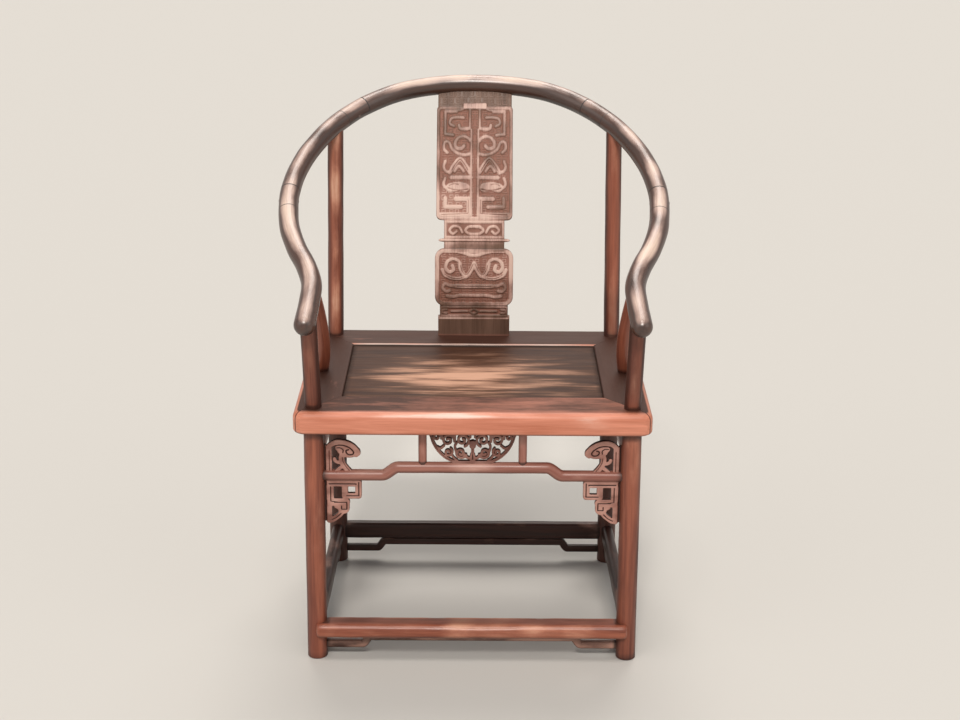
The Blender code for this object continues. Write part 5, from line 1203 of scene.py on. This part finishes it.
# The carved fields: low and high edge, half width, corner and border in mm, then the strokes
# that stand up and the cuts in them. The fields with cuts carry the small spirals on their ground
carvedFields = {
    "upper": {"size": (218.0, 410.4, 70.5, 9, 5.0), "strokes": [
        (4.2, [(0, 413), (19, 413)]),
        (3, [(9.2, 411), (9.2, 373.5)]),
        (3.8, bend((9.8, 374), (18, 372.6), (27, 373.4), (29.5, 379))),
        (3.2, bend((19, 411), (25, 405.5), (36, 404.5))),
        (3.6, bend((21, 392), (33, 392.4), (44, 390), (46.5, 382), (39, 377.5))),
        (3.6, [(34, 402), (55, 402), (55, 364), (40, 362.5)]),
        (2.8, [(6.4, 372), (6.4, 226)]),
        (4.2, bend((8, 353), (17, 359), (28, 358.4), (36, 351), (35, 342), (26, 339.6), (20, 344))),
        (3.6, bend((8, 331), (19, 329), (31, 331.5), (42, 339), (48, 350), (56, 350), (57, 339),
                   (51, 333))),
        (4.6, bend((8.5, 299), (17, 312), (27, 322), (38, 312), (46, 299))),
        (3.4, bend((20.5, 301), (24.5, 306.5), (29, 310), (33, 306.5), (37, 301))),
        (3.4, bend((45, 299.5), (53, 301), (57.5, 309), (54.5, 318))),
        (4.3, [(7, 290.5), (43, 290.5)]),
        (8.4, bend((17, 273.6), (30, 275.6), (45, 273))),
        (3.4, bend((44, 273), (53, 273), (57.5, 280), (54.5, 289))),
        (4.6, [(34, 254), (10.6, 254), (10.6, 226.5), (64, 226.5)]),
        (3.9, [(25, 240.2), (54, 240.2), (54, 255)]),
    ], "cuts": [
        (1.2, 1.2, bend((12, 270.5), (24, 268.6), (38, 269.4), (49, 272.5))),
        (1, 1, bend((30, 278), (39, 279.4), (47, 276.4))),
        (1, 1.2, bend((12.6, 303), (19, 313), (27, 321), (35.5, 313), (42, 303))),
        (1.1, 1.2, [(11.4, 252), (11.4, 229), (60, 226.5)]),
        (1, 1, bend((12, 353), (20, 357), (29, 355), (32, 348))),
    ]},
    "lower": {"size": (59.9, 168.0, 72.5, 18, 7.4), "strokes": [
        (3.8, bend((0, 155.5), (9, 156.5), (20, 160), (30, 162))),
        (4.4, bend((-27, 140), (-24, 128), (-15, 116.5), (-6, 127), (0, 141))),
        (4, bend((26, 139), (31, 146), (41, 148), (50, 142.6), (52.4, 132), (46, 125),
                 (38.4, 128.6), (40, 136))),
        (3.8, bend((15, 116.5), (28, 112.6), (42, 113.6), (54, 119), (59, 129))),
        (4.4, [(0, 98), (34, 98)]),
        (3.6, bend((33, 98), (44, 99), (54, 102.4), (58, 95), (52, 88), (45, 89))),
        (3.6, bend((0, 80.5), (14, 80.8), (28, 80), (40, 77.6), (50, 79))),
    ], "cuts": [
        (1, 1.2, bend((-25, 137), (-22, 127), (-15, 119.5), (-8, 127), (-2, 139))),
        (1, 1.1, bend((30, 142), (38, 145.6), (46, 142), (49, 134))),
        (1, 1.1, bend((22, 114), (32, 112.4), (44, 114.6), (54, 120.6))),
        (1, 1.2, [(0, 98), (31, 98)]),
    ]},
    "neck": {"size": (185.2, 217.0, 55.75, 1, 4.4), "cuts": [], "strokes": [
        (3.2, bend((0, 206.5), (11, 205.4), (16.5, 199.6), (10, 194), (0, 193))),
        (3, bend((22, 196), (28, 205), (39, 206.6), (45.6, 199.6), (39.6, 193.6), (33, 197.6))),
    ]},
    "base": {"size": (38.8, 59.0, 63.5, 1, 3.4), "cuts": [], "strokes": [
        (3, bend((51, 52.4), (58, 51.6), (58, 46.4), (51, 45.4))),
        (2.6, bend((0, 53.5), (7, 49), (3, 45), (0, 44))),
        (2.6, [(12, 49), (42, 49)]),
    ]},
}
# The sunk ground of the two panels carries rows of small square spirals, cut at less than
# half the height
groundPattern = {"pitchMm": 12.5, "halfWidth": 0.95, "height": 0.42,
                 "spiral": [(-4.2, -4.2), (4.2, -4.2), (4.2, 4.2), (-2.2, 4.2), (-2.2, -0.4),
                            (1.2, -0.4)]}
crossbar = {"half": 26, "above": 0.7, "stripSunk": 1.1}


def spiralGround(gridX, gridH):
    pitch = groundPattern["pitchMm"]
    column, row = np.floor(np.abs(gridX) / pitch), np.floor(gridH / pitch)
    x = (np.abs(gridX) - (column + 0.5) * pitch) * np.where((column + row) % 2 > 0, -1, 1)
    distance = strokeDistance(x, gridH - (row + 0.5) * pitch, groundPattern["halfWidth"],
                              groundPattern["spiral"])
    return groundPattern["height"] * (1 - smooth(-0.7, 0.7, distance))


def splatRelief(gridX, gridH):
    height = np.zeros(gridX.shape)
    for name, field in carvedFields.items():
        low, high, halfX, corner, border = field["size"]
        beyond = np.abs(gridH - (low + high) / 2) - (high - low) / 2
        inside = -roundedJoin(np.abs(gridX) - halfX, beyond, corner)
        ground = smooth(border, border + 1.1, inside)
        onBorder = (inside > 0) & (inside < border)
        bead = np.where(onBorder, -0.8 * (np.abs(inside - border / 2) / (border / 2)) ** 2.5, 0)
        raised = np.zeros(gridX.shape)
        for width, points in mirrored(field["strokes"]):
            distance = strokeDistance(gridX, gridH, width, points)
            # Rounded shoulders: the middle of a wide stroke stands highest
            crown = 0.86 + 0.14 * smooth(0.5, 3, -distance)
            raised = np.maximum(raised, (1 - smooth(-1.5, 0.8, distance)) * crown)
        if field["cuts"]:
            raised = np.maximum(raised, spiralGround(gridX, gridH))
        groove = grooves(gridX, gridH, mirrored(field["cuts"]), 0.3)
        carved = -splat["sunkMm"] * ground * (1 - raised) - groove * (raised > 0.5)
        height = np.where(inside > 0, np.minimum(height, carved) + bead, height)
        if name == "upper":
            # The crossbar stands up from the strip above the panel, which lies lower
            height = height - crossbar["stripSunk"] * smooth(high, high + 0.7, gridH) * (1 - raised)
            height = np.where((np.abs(gridX) < crossbar["half"]) & onBorder,
                              np.minimum(0, height + crossbar["above"] * raised), height)
    return height


def splatLine(shares):
    table = np.array(splat["curve"])
    fine = curveAt(table, np.linspace(0, len(table) - 1, 601))
    lean = splat["lean"] * np.interp(shares, fine[:, 0], fine[:, 1])
    height = splat["seatZ"] + splat["heightMm"] * mm * shares
    return np.stack([0 * shares, splat["baseY"] + lean, height], axis=1)


def makeSplat():
    heightMm, edge, full = splat["heightMm"], splat["edgeMm"], splat["thicknessMm"] / 2
    # Each row: height, half width, how far the ledge stands proud
    rows = []
    for low, high, width, lowCorner, highCorner in splat["bands"]:
        start, end = low * heightMm, high * heightMm
        inset = splat["rowInset"]
        for level in np.linspace(start + inset, end - inset, int((end - start) / splat["rowMm"])):
            half = width / 2 - eased(lowCorner, level - start) - eased(highCorner, end - level)
            rows.append((level, half, 0.0))
    middle, ledge = splat["ledgeShare"] * heightMm, splat["ledgeHeight"] / 2
    neck, reach = splat["neckHalf"], splat["ledgeHalf"] - splat["neckHalf"]
    rows = [row for row in rows if abs(row[0] - middle) > ledge]
    for part in np.linspace(-1, 1, 9):
        swell = sqrt(1 - (part * 0.92) ** 2)
        rows.append((middle + part * ledge, neck + reach * (0.4 + 0.6 * swell),
                     splat["ledgeProud"] * swell))
    rows.sort()
    levels, halves, prouds = np.array(rows).T[..., None]
    levels[0] = -splat["tenonMm"]
    shares, step = levels[:, 0] / heightMm, 0.004
    normal = np.cross(xAxis, unit(splatLine(shares + step) - splatLine(shares - step)))
    gridX = np.linspace(-1, 1, splat["columns"]) * halves
    relief = splatRelief(gridX, levels + 0 * gridX)
    front = full + np.where(prouds > 0.05, prouds, relief) - eased(edge, halves - np.abs(gridX))
    # The back is plain, with its edges eased the same way
    inward = np.array([0, 0.35, edge, edge * 2.4])
    backX = np.concatenate([halves - inward, inward[::-1] - halves], axis=1)
    back = eased(edge, np.append(inward, inward[::-1])) - full - np.where(prouds > 0.05, prouds, 0)
    across, depth = np.concatenate([gridX, backX], axis=1), np.concatenate([front, back], axis=1)
    points = (splatLine(shares)[:, None] + xAxis * across[..., None] * mm
              + normal[:, None] * depth[..., None] * mm)
    grain = np.stack([levels + 0 * across, across, depth], axis=2).reshape(-1, 3) * mm

    def wearAndPaintedLight(places, normals, local):
        level, depthMm = local[:, 0] / mm, local[:, 2] / mm
        sunk = np.clip((full - depthMm) / splat["sunkMm"], 0, 1)

        def between(low, lowEnd, high, highEnd):
            return smooth(low, lowEnd, level) * (1 - smooth(high, highEnd, level))
        facing = smooth(0.55, 0.98, -normals[:, 1] + 0.35 * normals[:, 2])
        # The relief facing the front and up is lighter, partly rubbed and partly painted highlight;
        # the sunk ground takes the red-brown stain
        rubAndHighlight = 0.19 + 0.33 * (1 - sunk) * facing + 0.16 * waves(places, 60, 161)
        # The base is painted darker as painted shade, with a painted highlight line along its top
        # edge, and the strip above the upper panel is painted dark as painted shadow of the crest
        # rail
        base = 1 - smooth(34.5, 37.5, level)
        crestShadow = smooth(410.4, 412, level) * smooth(0.3, 0.5, sunk)
        neck = between(172, 182, 216, 220)
        # The crossbar over the upper panel is the part that backs touch most
        bar = (np.abs(places[:, 0]) < 0.021) * between(406.5, 408.5, 417, 418.5) * (1 - sunk)
        rubAndHighlight += 0.24 * between(215, 225, 255, 325) + 0.32 * between(95, 125, 160, 170) + 0.25 * neck
        rubAndHighlight += 0.34 * bar + 0.62 * hill(level, 35.2, 1.4) - 0.75 * crestShadow + 0.06 - 0.40 * base
        dark = 0.66 * smooth(0.3, 1.0, sunk) * (1 - 0.35 * neck)
        isFront = depthMm > 1
        rubAndHighlight = np.where(isFront, rubAndHighlight, 0.15 + 0.1 * waves(places, 90, 162))
        dark = np.where(isFront, dark * (1 - crestShadow), 0.1)
        # Toward the top it is painted darker still as painted shadow of the crest rail, and it
        # darkens at its foot in the seat
        return rubAndHighlight - 0.25 * smooth(405, 432, level), dark + 0.6 * (1 - smooth(0, 6, level))
    makePiece("backSplat", "back_splat", (points.reshape(-1, 3), tubeFaces(*across.shape), grain),
              "splat_lacquer", wearAndPaintedLight, 163, sharp=60)
    print("back splat: 1")


# Studio: a pale floor, a key lamp high in front, two overhead, two weak side lamps. For each
# lamp: azimuth from the front, height and width in degrees, strength
studio = {
    "floorColour": "#d0cec9", "floorRadius": 40.0, "lampColour": "#fff8f1", "skyStrength": 0.20,
    "skyColour": "#f4f6fa",
    "lamps": {
        "keyLamp": (-4, 47, 12, 1.50),
        "overheadLamp": (-12, 79, 18, 0.78),
        "overheadRearLamp": (176, 58, 32, 1.35),
        "leftLamp": (-58, 28, 40, 0.28),
        "rightLamp": (58, 28, 40, 0.28),
    },
}


def makeStudio():
    mesh = bpy.data.meshes.new("studioFloor")
    bm = bmesh.new()
    bmesh.ops.create_circle(bm, cap_ends=True, segments=96, radius=studio["floorRadius"])
    bm.to_mesh(mesh)
    bm.free()
    addObject("studioFloor", mesh)
    # Matt painted floor: even and pale, with the faintest roller marks
    material = bpy.data.materials.new("mattPaintedStudioFloor")
    tree = emptyTree(material)
    space = addNode(tree, "TexCoord")["Object"]
    marks = addNode(tree, "TexNoise", {"Vector": space, "Scale": 40.0, "Detail": 2.0})["Fac"]
    bump = addNode(tree, "Bump", {"Height": marks, "Strength": 0.05, "Distance": 0.001})[0]
    shader = addNode(tree, "BsdfPrincipled", {
        "Base Color": colour(studio["floorColour"]), "Normal": bump, "Roughness": 0.9,
        "Specular IOR Level": 0.2})[0]
    addNode(tree, "OutputMaterial", {"Surface": shader})
    mesh.materials.append(material)
    for name, (azimuth, height, width, strength) in studio["lamps"].items():
        data = bpy.data.lights.new(name, "SUN")
        data.energy, data.angle = strength, radians(width)
        data.color = colour(studio["lampColour"])[:3]
        turn, rise = radians(azimuth), radians(height)
        towards = Vector((sin(turn) * cos(rise), -cos(turn) * cos(rise), sin(rise)))
        lamp = addObject(name, data)
        lamp.rotation_mode = "QUATERNION"
        lamp.rotation_quaternion = towards.to_track_quat("Z", "Y")
    # The backdrop is pale for the camera and in reflections, and the sky lights the rest
    world = bpy.data.worlds.new("studioSky")
    tree = emptyTree(world)
    path = addNode(tree, "LightPath")
    seen = path["Is Camera Ray"]
    for ray in ("Is Glossy Ray", "Is Transmission Ray"):
        seen = addNode(tree, "Math", {0: seen, 1: path[ray]}, operation="MAXIMUM")[0]
    shades = []
    for name, strength in (("skyColour", studio["skyStrength"]), ("floorColour", 1.0)):
        sockets = {"Color": colour(studio[name]), "Strength": strength}
        shades.append(addNode(tree, "Background", sockets)[0])
    both = addNode(tree, "MixShader", {0: seen, 1: shades[0], 2: shades[1]})[0]
    addNode(tree, "OutputWorld", {"Surface": both})
    bpy.context.scene.world = world
    bpy.context.scene.view_settings.view_transform = "Standard"
    print("studio: floor,", len(studio["lamps"]), "lamps, sky")


for make in (makeCamera, makeStudio, makeCrest, makeLegs, makeSidePosts, makeSeatFrame,
             makeSeatBoard, makeHumpBars, makeLowBars, makeFootrest, makeBrackets,
             makeCentreCarving, makeSplat):
    make()
